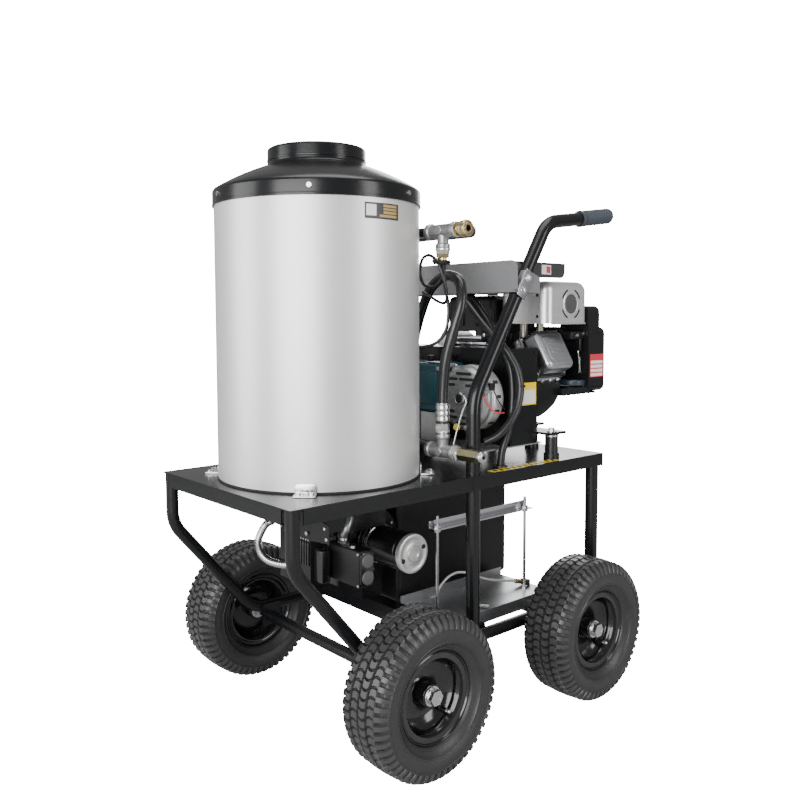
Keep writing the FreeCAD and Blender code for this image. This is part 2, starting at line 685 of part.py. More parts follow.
def burner_housing():
    """The fan's drum, the throat that turns the air upward, its filter box and the tube into the tank."""
    drum = rod(("drum_x", "drum_y", "drum_z"), "drum_radius", "drum_width", "Y")
    throat = box(("throat_x", "throat_y", "throat_z"),
                 ("drum_x - throat_x", "throat_width", "throat_height"))
    filter_box = box(("throat_x", "throat_y", "air_box_z"),
                     ("air_box_length", "throat_width", "throat_z + drum_wall - air_box_z"))
    tube = rod(("tank_x", 0, "throat_z + throat_height - 1"), "air_tube",
               "deck_top + 3 * floor_gauge - throat_z - throat_height + 1")
    cradle_low = "burner_beam_z + burner_beam_height"
    cradle = box(("drum_x - cradle_width / 2", "drum_y", cradle_low),
                 ("cradle_width", "drum_width", f"drum_z - drum_radius / 2 - ({cradle_low})"))
    outside = fuse(drum, throat, filter_box, tube, cradle)
    hollow = rod(("drum_x", "drum_y + drum_wall", "drum_z"), "drum_radius - drum_wall",
                 "drum_width - 2 * drum_wall", "Y")
    duct = box(("throat_x + drum_wall", "throat_y + drum_wall", "throat_z + drum_wall"),
               ("drum_x - throat_x - drum_wall", "throat_width - 2 * drum_wall",
                "throat_height - 2 * drum_wall"))
    riser = rod(("tank_x", 0, "throat_z + throat_height - 2 * drum_wall"), "air_tube - drum_wall",
                "deck_top - throat_z")
    shaft = rod(("drum_x", "drum_y", "drum_z"), "shaft_fit + 3", "drum_wall", "Y")
    node(cut(outside, fuse(hollow, duct, riser), shaft), "burner_housing")


def burner_motor():
    """A 12-volt motor on the near side of the drum, with a ring at its mounting end."""
    body = rod(("drum_x", "motor_front", "drum_z"), "motor_radius", "motor_back - motor_front", "Y")
    ring = rod(("drum_x", "motor_back - cap_depth", "drum_z"), "motor_radius + 3", "cap_depth", "Y")
    bore = rod(("drum_x", "motor_front / 2", "drum_z"), "shaft_fit", "motor_back - motor_front", "Y")
    node(cut(fuse(body, ring), bore), "burner_motor")
    cap = rod(("drum_x", "motor_front - cap_depth", "drum_z"), "motor_radius + 1", "cap_depth", "Y")
    boss = rod(("drum_x", "motor_front - cap_depth - 3", "drum_z"), "motor_radius * 0.4", "3", "Y")
    node(fuse(cap, boss), "motor_end_cap")


def burner_fan():
    """A squirrel-cage fan on the motor's shaft, inside the drum."""
    low_y = "drum_y + drum_wall + (drum_width - 2 * drum_wall - fan_width) / 2"
    plate = rod(("drum_x", low_y, "drum_z"), "fan_radius", "drum_wall", "Y")
    rim_place = ("drum_x", f"{low_y} + fan_width - drum_wall", "drum_z")
    rim_outer = rod(rim_place, "fan_radius", "drum_wall", "Y")
    rim_bore = rod(rim_place, "fan_radius - 14", "drum_wall", "Y")
    shaft = rod(("drum_x", "motor_front / 2 + 2", "drum_z"), "shaft_radius",
                f"{low_y} + 20 - motor_front / 2 - 2", "Y")
    blades = []
    count = 24
    for index in range(count):
        turn = 360 / count * index
        blade = box((f"drum_x + (fan_radius - 12) * cos({turn})", low_y,
                     f"drum_z - (fan_radius - 12) * sin({turn})"),
                    ("10", "fan_width", "1.5"), Rotation(Vector(0, 1, 0), turn + 20))
        blades.append(blade)
    node(fuse(plate, cut(rim_outer, rim_bore), shaft, *blades), "burner_fan")


def ignition_box():
    """A sheet-metal box with two round caps on its near side."""
    case = box(("igniter_x", "igniter_y", "igniter_z"),
               ("igniter_depth", "igniter_width", "igniter_height"))
    case = rounded(case, "weld_gap", runs_along("Z"))
    caps = [rod(("igniter_x + igniter_depth / 2", "igniter_y - 5", f"igniter_z + igniter_height * {part}"),
                "cap_radius", "5", "Y") for part in (0.27, 0.73)]
    bracket = box(("igniter_x + igniter_depth / 2", "igniter_y + igniter_width - 20",
                   "igniter_z + igniter_height"),
                  ("gauge", "50", "throat_z - igniter_z - igniter_height"))
    node(fuse(case, bracket, *caps), "ignition_box")


# ---- fuel and battery ----

def fuel_tank():
    """A hollow tank on the bed beams, whose filler neck rises through the rear deck."""
    shell = box(("fuel_x", "fuel_y", "fuel_z"), ("fuel_length", "fuel_width", "fuel_height"))
    shell = rounded(shell, "fuel_round", lambda edge: True)
    hollow = box(("fuel_x + gauge", "fuel_y + gauge", "fuel_z + gauge"),
                 ("fuel_length - 2 * gauge", "fuel_width - 2 * gauge", "fuel_height - 2 * gauge"))
    hollow = rounded(hollow, "fuel_round", lambda edge: True)
    base = ("neck_x", "neck_y", "fuel_z + fuel_height - 2 * gauge")
    height = "neck_top - fuel_z - fuel_height + 2 * gauge"
    neck = rod(base, "neck_radius", height)
    bore = rod(base, "neck_radius - gauge", height)
    node(cut(fuse(shell, neck), fuse(hollow, bore)), "fuel_tank")


def fuel_cap():
    """A ribbed cap that turns on the outside of the neck."""
    low = "neck_top - cap_height + gauge"
    cap = rod(("neck_x", "neck_y", low), "cap_outer", "cap_height")
    hollow = rod(("neck_x", "neck_y", low), "neck_radius + 0.08", "cap_height - gauge + 0.2")
    grooves = []
    count = 12
    for index in range(count):
        turn = 360 / count * index
        grooves.append(rod((f"neck_x + (cap_outer + 1) * cos({turn})",
                            f"neck_y + (cap_outer + 1) * sin({turn})", low), "3", "cap_height"))
    node(cut(cap, hollow, *grooves), "fuel_cap")


def battery_tray():
    """A folded tray with a high back flange and a low front lip."""
    floor = box(("tray_x", "tray_y", "tray_z"), ("tray_length", "tray_width", "tray_gauge"))
    back = box(("tray_x", "tray_y + tray_width - tray_gauge", "tray_z"),
               ("tray_length", "tray_gauge", "tray_back"))
    lips = [box((low_x, "tray_y", "tray_z - tray_lip"), (length, "tray_gauge", "tray_lip"))
            for low_x, length in (("tray_x", "bed_beam_front - tray_x - 1"),
                                  ("bed_beam_front + bed_beam_width + 1",
                                   "bed_beam_rear - bed_beam_front - bed_beam_width - 2"))]
    holes = [rod((x, "rod_y", "tray_z"), "rod_radius + 0.5", "tray_gauge")
             for x in ("rod_front", "rod_rear")]
    node(cut(fuse(floor, back, *lips), *holes), "battery_tray")


def battery_holddown():
    """An angle bar over two threaded rods, with a nut above and below it."""
    flat = box(("rod_front - 18", "rod_y - 12", "bar_z"),
               ("rod_rear - rod_front + 36", "24", "bar_gauge"))
    web = box(("rod_front - 18", "rod_y + 9", "bar_z"),
              ("rod_rear - rod_front + 36", "bar_gauge", "bar_height"))
    holes = [rod((x, "rod_y", "bar_z"), "rod_radius + 0.4", "bar_gauge") for x in ("rod_front", "rod_rear")]
    pieces = [cut(fuse(flat, web), *holes)]
    for x in ("rod_front", "rod_rear"):
        threaded = rod((x, "rod_y", "rod_low - 8"), "rod_radius", "rod_high - rod_low + 8")
        nuts = [hexagon((x, "rod_y", z), "14", "6")
                for z in ("bar_z + bar_gauge", "bar_z - 6", "tray_z + tray_gauge")]
        pieces.append(fuse(threaded, *nuts))
    node(group(*pieces), "battery_holddown")


# ---- engine ----

def drive_base():
    """A folded steel hat on the rear deck that carries the pump, the alternator and the guard."""
    outside = slab("base_x", "deck_top", "base_length", "base_height", "base_half")
    hollow = slab("base_x", "deck_top", "base_length", "base_height - gauge", "base_half - gauge")
    hole = rod(("base_x + base_length - 24", "-base_half", "deck_top + base_height * 0.6"),
               "base_hole", "gauge", "Y")
    node(cut(outside, hollow, hole), "drive_base")


def engine_plate():
    """A T-shaped plate that stands on four rubber isolators."""
    wide = slab("plate_x", "plate_z", "plate_width", "plate_gauge", "plate_half")
    tongue = slab("plate_x", "plate_z", "plate_rear - plate_x", "plate_gauge", "plate_inner")
    node(fuse(wide, tongue), "engine_plate")


def isolator_spots():
    return [("isolator_x", "-isolator_y"), ("isolator_x", "isolator_y"),
            ("isolator_rear_x", "-isolator_rear_y"), ("isolator_rear_x", "isolator_rear_y")]


def isolators():
    mounts = []
    for x, y in isolator_spots():
        height = "plate_z - deck_top"
        mounts.append(fuse(rod((x, y, "deck_top"), "isolator_radius", f"({height}) * 0.25"),
                           rod((x, y, "deck_top"), "isolator_radius - 3", height)))
    node(group(*mounts), "isolators")


def engine_block():
    """Crankcase, two finned cylinders in a V and their heads."""
    case = slab("crank_x", "plate_z + plate_gauge", "block_length", "block_top - plate_z - plate_gauge",
                "block_half")
    case = rounded(case, "cover_round", runs_along("X"))
    pieces = [cut(case, sump_slope())]
    for sign in SIDES.values():
        pieces += cylinder_pieces(sign)
    front = rod(("crank_x - 12", 0, "crank_z"), "crank_radius + 32", "14", "X")
    seat = rod(("crank_x - 12", 0, "crank_z"), "crank_radius + 0.06", "80", "X")
    node(cut(fuse(front, *pieces), seat), "engine_block")


def sump_slope():
    """What is cut away where the sump rises towards the flywheel end."""
    slope = doc.addObject("Part::Box", "SumpSlope")
    bind(slope, Length="2 * block_length", Width="2 * block_half + 20", Height="block_length")
    corner = ["crank_x + sump_flat", "- block_half - 10", "plate_z + plate_gauge - 1"]
    turn = Rotation(Vector(0, 1, 0), 90 - size("sump_rise"))
    return place(slope, corner, turn)


def cylinder_pieces(sign):
    """The barrel, its fins and its head, tilted out from the crankshaft."""
    turn = Rotation(Vector(1, 0, 0), -sign * size("cylinder_tilt"))
    pieces = [tilted("cylinder_half - 8", "cylinder_from", "cylinder_to", turn),
              tilted("fin_half", "cylinder_to", "head_to", turn)]
    reach = size("cylinder_from") + 40
    while reach < size("cylinder_to"):
        pieces.append(tilted("fin_half", f"{reach}", f"{reach} + fin_gauge", turn))
        reach += size("fin_pitch")
    return pieces


def tilted(half, start, end, turn):
    """A block on the axis of a cylinder, between two distances from the crankshaft."""
    block = doc.addObject("Part::Box", "Tilted")
    bind(block, Length=f"2 * ({half})", Width=f"2 * ({half})", Height=f"({end}) - ({start})")
    corner = turn.multVec(Vector(-1, -1, 0))
    axis = turn.multVec(Vector(0, 0, 1))
    return place(block, [f"{origin} + ({half}) * {c} + ({start}) * {a}" for origin, c, a in
                         zip(("cylinder_x", "0", "crank_z"), corner, axis)], turn)


def valve_covers():
    covers = []
    for sign in SIDES.values():
        turn = Rotation(Vector(1, 0, 0), -sign * size("cylinder_tilt"))
        cover = tilted("cover_half", "head_to", "cover_to", turn)
        doc.recompute()
        covers.append(rounded(cover, "cover_round", lambda edge: True))
    node(group(*covers), "valve_covers")


def blower_shroud():
    """The black housing over the flywheel fan, with a hump, a lower skirt and a round inlet."""
    main = slab("shroud_x", "shroud_low", "shroud_width", "shroud_high - shroud_low", "shroud_half")
    main = rounded(main, "shroud_round", runs_along("X"))
    hump = box(("shroud_x", "-shroud_half + 2", "shroud_high - 40"),
               ("shroud_width * 0.7", "hump_width", "hump_high - shroud_high + 40"))
    hump = rounded(hump, "shroud_round", runs_along("X"))
    skirt = box(("skirt_x", "-shroud_half + 2", "shroud_low"),
                ("shroud_x - skirt_x + 10", "26", "skirt_high - shroud_low"))
    inlet = rod(("shroud_x + shroud_width - inlet_depth", 0, "(shroud_low + shroud_high) / 2"),
                "inlet_radius", "2 * inlet_depth", "X")
    node(cut(fuse(main, hump, skirt), inlet), "blower_shroud")


def muffler_shield():
    """A pressed heat shield, open below, with rounded upright and upper edges."""
    outside = box(("shield_x", "shield_y", "shield_z"), ("shield_length", "shield_width", "shield_height"))
    outside = rounded(outside, "shield_round", lambda edge: edge.BoundBox.ZMax > size("shield_z") + 1)
    wall = "shield_wall"
    inside = box((f"shield_x + {wall}", f"shield_y + {wall}", "shield_z"),
                 (f"shield_length - 2 * {wall}", f"shield_width - 2 * {wall}", f"shield_height - {wall}"))
    inside = rounded(inside, "shield_bend", lambda edge: edge.BoundBox.ZMax > size("shield_z") + 1)
    node(cut(outside, inside), "muffler_shield")


def exhaust():
    """The muffler drum inside the shield and a pipe down to each cylinder head."""
    middle = "shield_y + shield_width / 2"
    drum = rod(("shield_x + 14", middle, "shield_z + shield_height / 2"), "muffler_radius",
               "shield_length - 28", "X")
    pipes = []
    for x, y, low in (("shield_x + 53", "-84", "block_top + 45.5"),
                      ("shield_x + 110", "-92", "block_top + 50")):
        pipes.append(rod((x, y, low), "pipe_radius", f"shield_z + shield_height / 2 - ({low})"))
    node(fuse(drum, *pipes), "exhaust")


def air_cleaner():
    case = box(("cleaner_x", "cleaner_y", "cleaner_z"),
               ("cleaner_length", "cleaner_width", "cleaner_height"))
    case = rounded(case, "cover_round", lambda edge: edge.BoundBox.ZMax > size("cleaner_z") + 1)
    throat = rod(("cleaner_x + 90", 0, "block_top"), "26", "cleaner_z + 2 - block_top")
    node(fuse(case, throat), "air_cleaner")


# ---- belt drive, pump, alternator ----

def belt_guard():
    """A box over the belts, open towards the engine, with holes for the driven shafts."""
    body = new_body("belt_guard")
    face = [("- guard_half", "guard_low"), ("guard_half", "guard_low"),
            ("guard_half", "guard_high"), ("- guard_half", "guard_high")]
    inner = [("guard_wall - guard_half", "guard_low + guard_wall"),
             ("guard_half - guard_wall", "guard_low + guard_wall"),
             ("guard_half - guard_wall", "guard_high - guard_wall"),
             ("guard_wall - guard_half", "guard_high - guard_wall")]
    pad(body, outline(body, "YZ", face), "guard_depth")
    sketch = outline(body, "YZ", inner)
    sketch.setExpression("AttachmentOffset.Base.z", formula("guard_wall"))
    pocket(body, sketch, "guard_depth", reverse=True)
    for y, z, radius in (("pump_y", "pump_z", "pump_shaft + 6"),
                         ("alternator_y", "alternator_z", "alternator_shaft + 6")):
        pocket(body, circle(body, "YZ", (y, z), radius), "guard_wall", reverse=True)
    place(body, ("guard_x", 0, 0))


def pulley(label, plane, y, z, radius, shaft, shaft_start, shaft_length, planes=1):
    """A grooved pulley on its own shaft, both turning about an axis along X."""
    discs = []
    for index in range(planes):
        low = f"{plane} + {index} * (alternator_plane - pump_plane)"
        disc = rod((low, y, z), radius, "pulley_width", "X")
        belt_low = f"{low} + (pulley_width - belt_width) / 2"
        groove = cut(rod((belt_low, y, z), f"{radius} + 1", "belt_width", "X"),
                     rod((belt_low, y, z), f"{radius} - belt_height", "belt_width", "X"))
        discs.append(cut(disc, groove))
    axle = rod((shaft_start, y, z), shaft, shaft_length, "X")
    node(fuse(*discs, axle), label)


def pulleys():
    pulley("crank_pulley", "pump_plane", 0, "crank_z", "crank_pulley", "crank_radius",
           "pump_plane - 6", "crank_x + 60 - pump_plane", planes=2)
    pulley("pump_pulley", "pump_plane", "pump_y", "pump_z", "pump_pulley", "pump_shaft",
           "pump_x + pump_length - 40", "pump_plane + pulley_width + 8 - pump_x - pump_length + 40")
    pulley("alternator_pulley", "alternator_plane", "alternator_y", "alternator_z",
           "alternator_pulley", "alternator_shaft", "alternator_x + 60",
           "alternator_plane + pulley_width + 8 - alternator_x - 60")


def drive_belts():
    """Two belts, each the two straight runs and the wraps around its pair of pulleys."""
    belts = [belt("pump_plane", ("pump_y", "pump_z", "pump_pulley")),
             belt("alternator_plane", ("alternator_y", "alternator_z", "alternator_pulley"))]
    node(shaped(Part.makeCompound(belts)), "drive_belts")


def belt(plane, driven):
    """A closed belt in the grooves: the ring between two offsets of the pulleys' common tangents."""
    clearance = 0.4
    low = size("belt_height") - clearance
    centres = [Vector(0, 0, size("crank_z")), Vector(0, size(driven[0]), size(driven[1]))]
    radii = [size("crank_pulley"), size(driven[2])]
    outer = racetrack(centres, [radius - 1 for radius in radii])
    inner = racetrack(centres, [radius - low for radius in radii])
    width = size("belt_width") - 2 * clearance
    ring = Part.Face(outer).extrude(Vector(width, 0, 0)).cut(Part.Face(inner).extrude(Vector(width, 0, 0)))
    offset = size(plane) + (size("pulley_width") - width) / 2
    ring.translate(Vector(offset, 0, 0))
    return ring


def racetrack(centres, radii):
    """The closed line around two circles in a plane of constant X."""
    between = centres[1] - centres[0]
    heading = math.atan2(between.z, between.y)
    swing = math.acos((radii[0] - radii[1]) / between.Length)

    def on_circle(index, angle):
        return centres[index] + Vector(0, math.cos(angle), math.sin(angle)) * radii[index]

    tangents = [(on_circle(0, heading + s * swing), on_circle(1, heading + s * swing)) for s in (1, -1)]
    far = on_circle(1, heading)
    near = on_circle(0, heading + math.pi)
    return Part.Wire([Part.LineSegment(*tangents[0]).toShape(),
                      Part.Arc(tangents[0][1], far, tangents[1][1]).toShape(),
                      Part.LineSegment(tangents[1][1], tangents[1][0]).toShape(),
                      Part.Arc(tangents[1][0], near, tangents[0][0]).toShape()])


def pump():
    """A triplex pump: a painted crankcase on a foot, and a valve head on its far side."""
    case = box(("pump_x", "pump_side", "pump_low"), ("pump_length", "pump_width", "pump_height"))
    case = rounded(case, "pump_round", lambda edge: True)
    foot = box(("pump_x + 14", "pump_side + 78", "deck_top + base_height"),
               ("pump_length - 28", "pump_width - 90", "pump_low + 2 - deck_top - base_height"))
    bore = rod(("pump_x + pump_length - 42", "pump_y", "pump_z"), "pump_shaft + 0.06", "60", "X")
    node(cut(fuse(case, foot), bore), "pump_body")
    head = box(("pump_x", "pump_side + pump_width", "head_low"),
               ("pump_length", "head_width", "head_height"))
    ports = [rod((f"pump_x + pump_length * {part}", "pump_side + pump_width + head_width / 2",
                  "head_low + head_height"), "valve_radius", "12") for part in (0.2, 0.5, 0.8)]
    unloader = rod(("pump_x + pump_length / 2", "pump_side + pump_width + head_width", "head_low + 62"),
                   "valve_radius", "24", "Y")
    bore = rod(("pump_x + pump_length / 2", "pump_side + pump_width + head_width + 4", "head_low + 62"),
               "shaft_fit", "20", "Y")
    node(cut(fuse(head, unloader, *ports), bore), "pump_head")
    knob_y = "pump_side + pump_width + head_width + 26"
    knob = fuse(rod(("pump_x + pump_length / 2", knob_y, "head_low + 62"), "valve_radius + 2", "18", "Y"),
                rod(("pump_x + pump_length / 2", f"{knob_y} - 20", "head_low + 62"),
                     "shaft_radius", "22", "Y"))
    grooves = []
    for index in range(6):
        grooves.append(rod((f"pump_x + pump_length / 2 + (valve_radius + 4) * cos({60 * index})", knob_y,
                            f"head_low + 62 + (valve_radius + 4) * sin({60 * index})"), "5", "18", "Y"))
    node(cut(knob, *grooves), "unloader_knob")


def alternator():
    """A cast alternator with a slotted end bell, on a bracket."""
    axis = ("alternator_y", "alternator_z")
    bell = cone(("alternator_x", *axis), "bell_radius", "alternator_radius", "bell_depth", "X")
    drum = rod(("alternator_x + bell_depth", *axis), "alternator_radius",
               "alternator_length - bell_depth", "X")
    hub = rod(("alternator_x - 4", *axis), "16", "6", "X")
    foot = box(("alternator_x + 34", "alternator_y - 30", "deck_top + base_height"),
               ("46", "60", "alternator_z - alternator_radius + 8 - deck_top - base_height"))
    bore = rod(("alternator_x + 58", *axis), "alternator_shaft + 0.06", "alternator_length", "X")
    slots = []
    count = 12
    for index in range(count):
        turn = 360 / count * (index + 0.5)
        slot = bind(doc.addObject("Part::Box", "Slot"), Length="9", Width="slot_width", Height="26")
        corner = ("alternator_x - 1",
                  f"alternator_y + 32 * sin({turn}) - slot_width / 2 * cos({turn})",
                  f"alternator_z + 32 * cos({turn}) + slot_width / 2 * sin({turn})")
        slots.append(place(slot, corner, Rotation(Vector(1, 0, 0), -turn)))
    node(cut(fuse(bell, drum, hub, foot), bore, *slots), "alternator")


# ---- console ----

def console():
    """A sheet-metal box between the uprights whose hood reaches back over its controls."""
    width = "console_half"
    face = slab("console_x", "console_low", "console_gauge", "console_high - console_low", "console_face")
    face = bevelled(face, "face_chamfer", lambda edge: edge.BoundBox.XLength > 1
                    and edge.BoundBox.ZMin > size("console_high") - 1)
    top = slab("console_x", "console_high - console_gauge", "hood_end - console_x", "console_gauge", width)
    back = slab("console_x + console_depth - console_gauge", "console_low", "console_gauge",
                "console_high - console_low", width)
    ends = []
    for low_y in ("-console_half", "console_half - console_gauge"):
        ends.append(box(("console_x", low_y, "console_low"),
                        ("console_depth", "console_gauge", "console_high - console_low")))
        hood = box(("console_x", low_y, "hood_low"),
                   ("hood_end - console_x", "console_gauge", "console_high - hood_low"))
        ends.append(rounded(hood, "hood_round", lambda edge: edge.BoundBox.YLength > 1
                            and edge.BoundBox.XMin > size("hood_end") - 1
                            and edge.BoundBox.ZMax < size("hood_low") + 1))
    panel_x = "console_x + console_depth - console_gauge"
    holes = [rod((panel_x, y, "panel_z"), "panel_fit", "console_gauge", "X")
             for y in ("thermostat_y", "key_y")]
    holes.append(box((panel_x, "switch_y - 10.5", "panel_z - 14.5"), ("console_gauge", "21", "29")))
    node(cut(fuse(face, top, back, *ends), *holes), "console")


def controls():
    """Thermostat knob, key and burner switch on the back of the console."""
    panel = "console_x + console_depth"
    dial = rod((f"{panel} + 1", "thermostat_y", "panel_z"), "knob_radius", "knob_depth", "X")
    spindle = rod((f"{panel} - 16", "thermostat_y", "panel_z"), "panel_shaft", "18", "X")
    pointer = box((f"{panel} + 1 + knob_depth", "thermostat_y - 2", "panel_z"),
                  ("2", "4", "knob_radius - 2"))
    node(fuse(dial, spindle, pointer), "thermostat_knob")
    barrel = rod((f"{panel} - 20", "key_y", "panel_z"), "panel_shaft", "24", "X")
    bow = box((f"{panel} + 3", "key_y - 1.5", "panel_z - 13"), ("24", "3", "26"))
    node(fuse(barrel, bow), "ignition_key")
    rocker = box((f"{panel} - 9", "switch_y - 9.5", "panel_z - 12"), ("14", "19", "24"))
    node(rounded(rocker, "gauge", runs_along("Y")), "burner_switch")


# ---- pipework ----

def pipe_fittings():
    """The two tees with their nipples, nuts and ferrule, and the coupler's body."""
    pieces = [tee("high_port", -1), tee("low_port", 1)]
    body = fuse(rod(("port_x", "coupler_end", "high_port"), "coupler_radius",
                    "tee_y - tee_half - coupler_end", "Y"),
                hexagon(("port_x", "tee_y - tee_half - 10", "high_port"), "30", "10", "Y"))
    socket = rod(("port_x", "coupler_end", "high_port"), "coupler_bore", "28", "Y")
    pieces.append(cut(body, socket))
    node(group(*pieces), "pipe_fittings")


def tee(z, branch):
    """A tee on a port: its run lies along Y and its branch points up or down."""
    run = rod(("port_x", "tee_y - tee_half", z), "tee_radius", "2 * tee_half", "Y")
    nipple = rod(("port_x", "tee_y + tee_half", z), "nipple_radius", "-100 - tee_y - tee_half", "Y")
    low = z if branch > 0 else f"{z} - 62"
    arm = rod(("port_x", "tee_y", low), "tee_radius - 2", "62")
    nut = hexagon(("port_x", "tee_y", f"{z} + 34" if branch > 0 else f"{z} - 52"), "32", "18")
    return fuse(run, nipple, arm, nut)


def relief_valve():
    """A brass relief valve on the end of the lower tee."""
    start = "tee_y - tee_half"
    shank = rod(("port_x", f"{start} - 16", "low_port"), "nipple_radius", "16", "Y")
    case = hexagon(("port_x", "relief_end + 6", "low_port"), "2 * relief_radius",
                   f"{start} - 22 - relief_end", "Y")
    nose = rod(("port_x", "relief_end", "low_port"), "relief_radius - 2", "8", "Y")
    bore = rod(("port_x", "relief_end", "low_port"), "4", "10", "Y")
    node(cut(fuse(shank, case, nose), bore), "relief_valve")


def coupler_sleeve():
    """A knurled sleeve that slides back on the coupler's body."""
    low = "coupler_end + 1"
    ring = rod(("port_x", low, "high_port"), "sleeve_radius", "sleeve_length", "Y")
    bore = rod(("port_x", low, "high_port"), "sleeve_bore", "sleeve_length", "Y")
    node(cut(ring, bore), "coupler_sleeve")


HOSE_ROUTE = [(-62.6, -184, 670), (-62.6, -184, 745), (-62, -192, 815), (-52, -208, 880), (-36, -218, 940),
              (-22, -198, 988), (-10, -140, 1003), (2, -76, 974), (26, -20, 918), (62, 36, 872),
              (84, 70, 836),
              (84, 70, 796)]
LOOM_ROUTES = [[(128, -84, 961), (124, -120, 925), (122, -160, 880), (130, -190, 832), (134, -212, 780),
                (133, -218, 730), (130, -218, 684), (120, -216, 636), (101, -212, 590), (98, -212, 545)],
               [(119, -56, 961), (103, -102, 937), (96, -150, 895), (98, -186, 862), (110, -216, 830),
                (128, -234, 790), (134, -242, 745), (124, -244, 702), (100, -240, 662), (74, -226, 632),
                (52, -204, 618)]]


def pressure_hose():
    """The hose from the lower tee, over the top and down to the pump."""
    points = [Vector(*point) for point in HOSE_ROUTE]
    hose = pipe_shape(points, widest_radii(points), size("hose_radius"), size("hose_bore"))
    ferrule = Part.makeCylinder(size("hose_radius") + 3, 44, points[0], points[1] - points[0])
    ferrule = ferrule.cut(Part.makeCylinder(size("hose_radius"), 44, points[0], points[1] - points[0]))
    node(shaped(Part.makeCompound([hose, ferrule])), "pressure_hose")


def cable_looms():
    """Two sleeved looms from the console: one through the rear deck, one to the alternator."""
    looms = []
    for route in LOOM_ROUTES:
        points = [Vector(*point) for point in route]
        looms.append(pipe_shape(points, widest_radii(points), size("loom_radius")))
    node(shaped(Part.makeCompound(looms)), "cable_looms")


# ---- brackets and fasteners ----

def zinc_brackets():
    """Four clips that hold the tank to the deck, and a plate on each upright for the console."""
    clips = []
    for angle in (-133, -42, 45, 135):
        turn = Rotation(Vector(0, 0, 1), angle)
        clips.append(clip(turn, Vector(size("tank_x"), 0, size("deck_top"))))
    middle = Vector(size("upright_x") + 152, 0, 979)
    lean = Rotation(Vector(0, 1, 0), 33)
    for sign in SIDES.values():
        plate = Part.makeBox(34, 3, 66, Vector(-17, -1.5, -33))
        plate.Placement = Placement(middle + Vector(0, sign * 254.6, 0), lean)
        clips.append(plate)
    node(shaped(Part.makeCompound(clips)), "zinc_brackets")


def clip(turn, base):
    """An L-shaped clip: a foot on the deck and a tab against the jacket."""
    gap = size("weld_gap")
    radius = size("tank_radius")
    foot = Part.makeBox(30, 44, 3, Vector(radius + 2, -22, 0))
    tab = Part.makeBox(3, 44, 20, Vector(radius + 2, -22, 0))
    shape = foot.fuse(tab).removeSplitter()
    jacket = Part.makeCylinder(radius + gap, 40, Vector(0, 0, -10))
    shape = shape.cut(jacket)
    shape.Placement = Placement(base, turn)
    return shape


def fasteners():
    """Axle nuts, washers and collars, and the bolts of clips, lid, plates and isolators."""
    pieces = axle_fasteners() + clip_bolts() + lid_screws() + isolator_bolts() + plate_bolts()
    node(shaped(Part.makeCompound(pieces)), "fasteners")


def ring_shape(start, along, outer, inner, depth):
    return Part.makeCylinder(outer, depth, start, along).cut(Part.makeCylinder(inner, depth, start, along))


def hex_shape(start, along, across, depth, bore=0):
    """A hexagonal nut or bolt head that stands on its start."""
    reach = across / math.sqrt(3)
    corners = [Vector(math.cos(math.radians(60 * i)), math.sin(math.radians(60 * i)), 0) * reach
               for i in range(7)]
    solid = Part.Face(Part.makePolygon(corners)).extrude(Vector(0, 0, depth))
    if bore:
        solid = solid.cut(Part.makeCylinder(bore, depth))
    solid.Placement = Placement(start, Rotation(Vector(0, 0, 1), along))
    return solid


def axle_fasteners():
    pieces = []
    outer_face = size("wheel_y") + size("hub_out") + size("flange_gap") + size("flange_gauge")
    for axle in ENDS.values():
        for sign in SIDES.values():
            out = Vector(0, sign, 0)
            centre = Vector(size(axle), 0, size("axle_z"))
            washer = centre + out * outer_face
            bore = size("axle_radius")
            pieces.append(ring_shape(washer, out, size("washer_radius"), bore, size("washer_gauge")))
            pieces.append(hex_shape(washer + out * size("washer_gauge"), out, size("nut_across"),
                                    size("nut_depth"), bore))
            inner = centre + out * (size("wheel_y") + size("hub_in")
                                    - size("flange_gap") - size("flange_gauge"))
            pieces.append(ring_shape(inner - out * 12, out, size("collar_radius"), bore, 12))
    return pieces


def clip_bolts():
    pieces = []
    for angle in (-133, -42, 45, 135):
        turn = Rotation(Vector(0, 0, 1), angle)
        seat = turn.multVec(Vector(size("tank_radius") + 19, 0, 0))
        seat += Vector(size("tank_x"), 0, size("deck_top") + 3)
        pieces.append(hex_shape(seat, Vector(0, 0, 1), 2 * size("bolt_head"), size("bolt_depth")))
    return pieces


def lid_screws():
    pieces = []
    count = 6
    for index in range(count):
        out = Rotation(Vector(0, 0, 1), 360 / count * index - 130).multVec(Vector(1, 0, 0))
        seat = Vector(size("tank_x"), 0, size("lid_low") + 18) + out * size("lid_radius")
        pieces.append(Part.makeCylinder(size("screw_head"), 3, seat, out))
    return pieces


def isolator_bolts():
    pieces = []
    top = size("plate_z") + size("plate_gauge")
    for x, y in isolator_spots()[:2]:
        seat = Vector(size(x), math.copysign(size("isolator_y"), -1 if y[0] == "-" else 1), top)
        pieces.append(ring_shape(seat, Vector(0, 0, 1), 12, 4, 2))
        pieces.append(hex_shape(seat + Vector(0, 0, 2), Vector(0, 0, 1), 2 * size("bolt_head"), 8))
    return pieces


def plate_bolts():
    """Two bolts through each console plate."""
    pieces = []
    lean = Rotation(Vector(0, 1, 0), 33)
    for sign in SIDES.values():
        for reach in (-19, 19):
            seat = Vector(size("upright_x") + 152, sign * 256.1, 979) + lean.multVec(Vector(0, 0, reach))
            pieces.append(hex_shape(seat, Vector(0, sign, 0), 2 * size("bolt_head"), size("bolt_depth")))
    return pieces


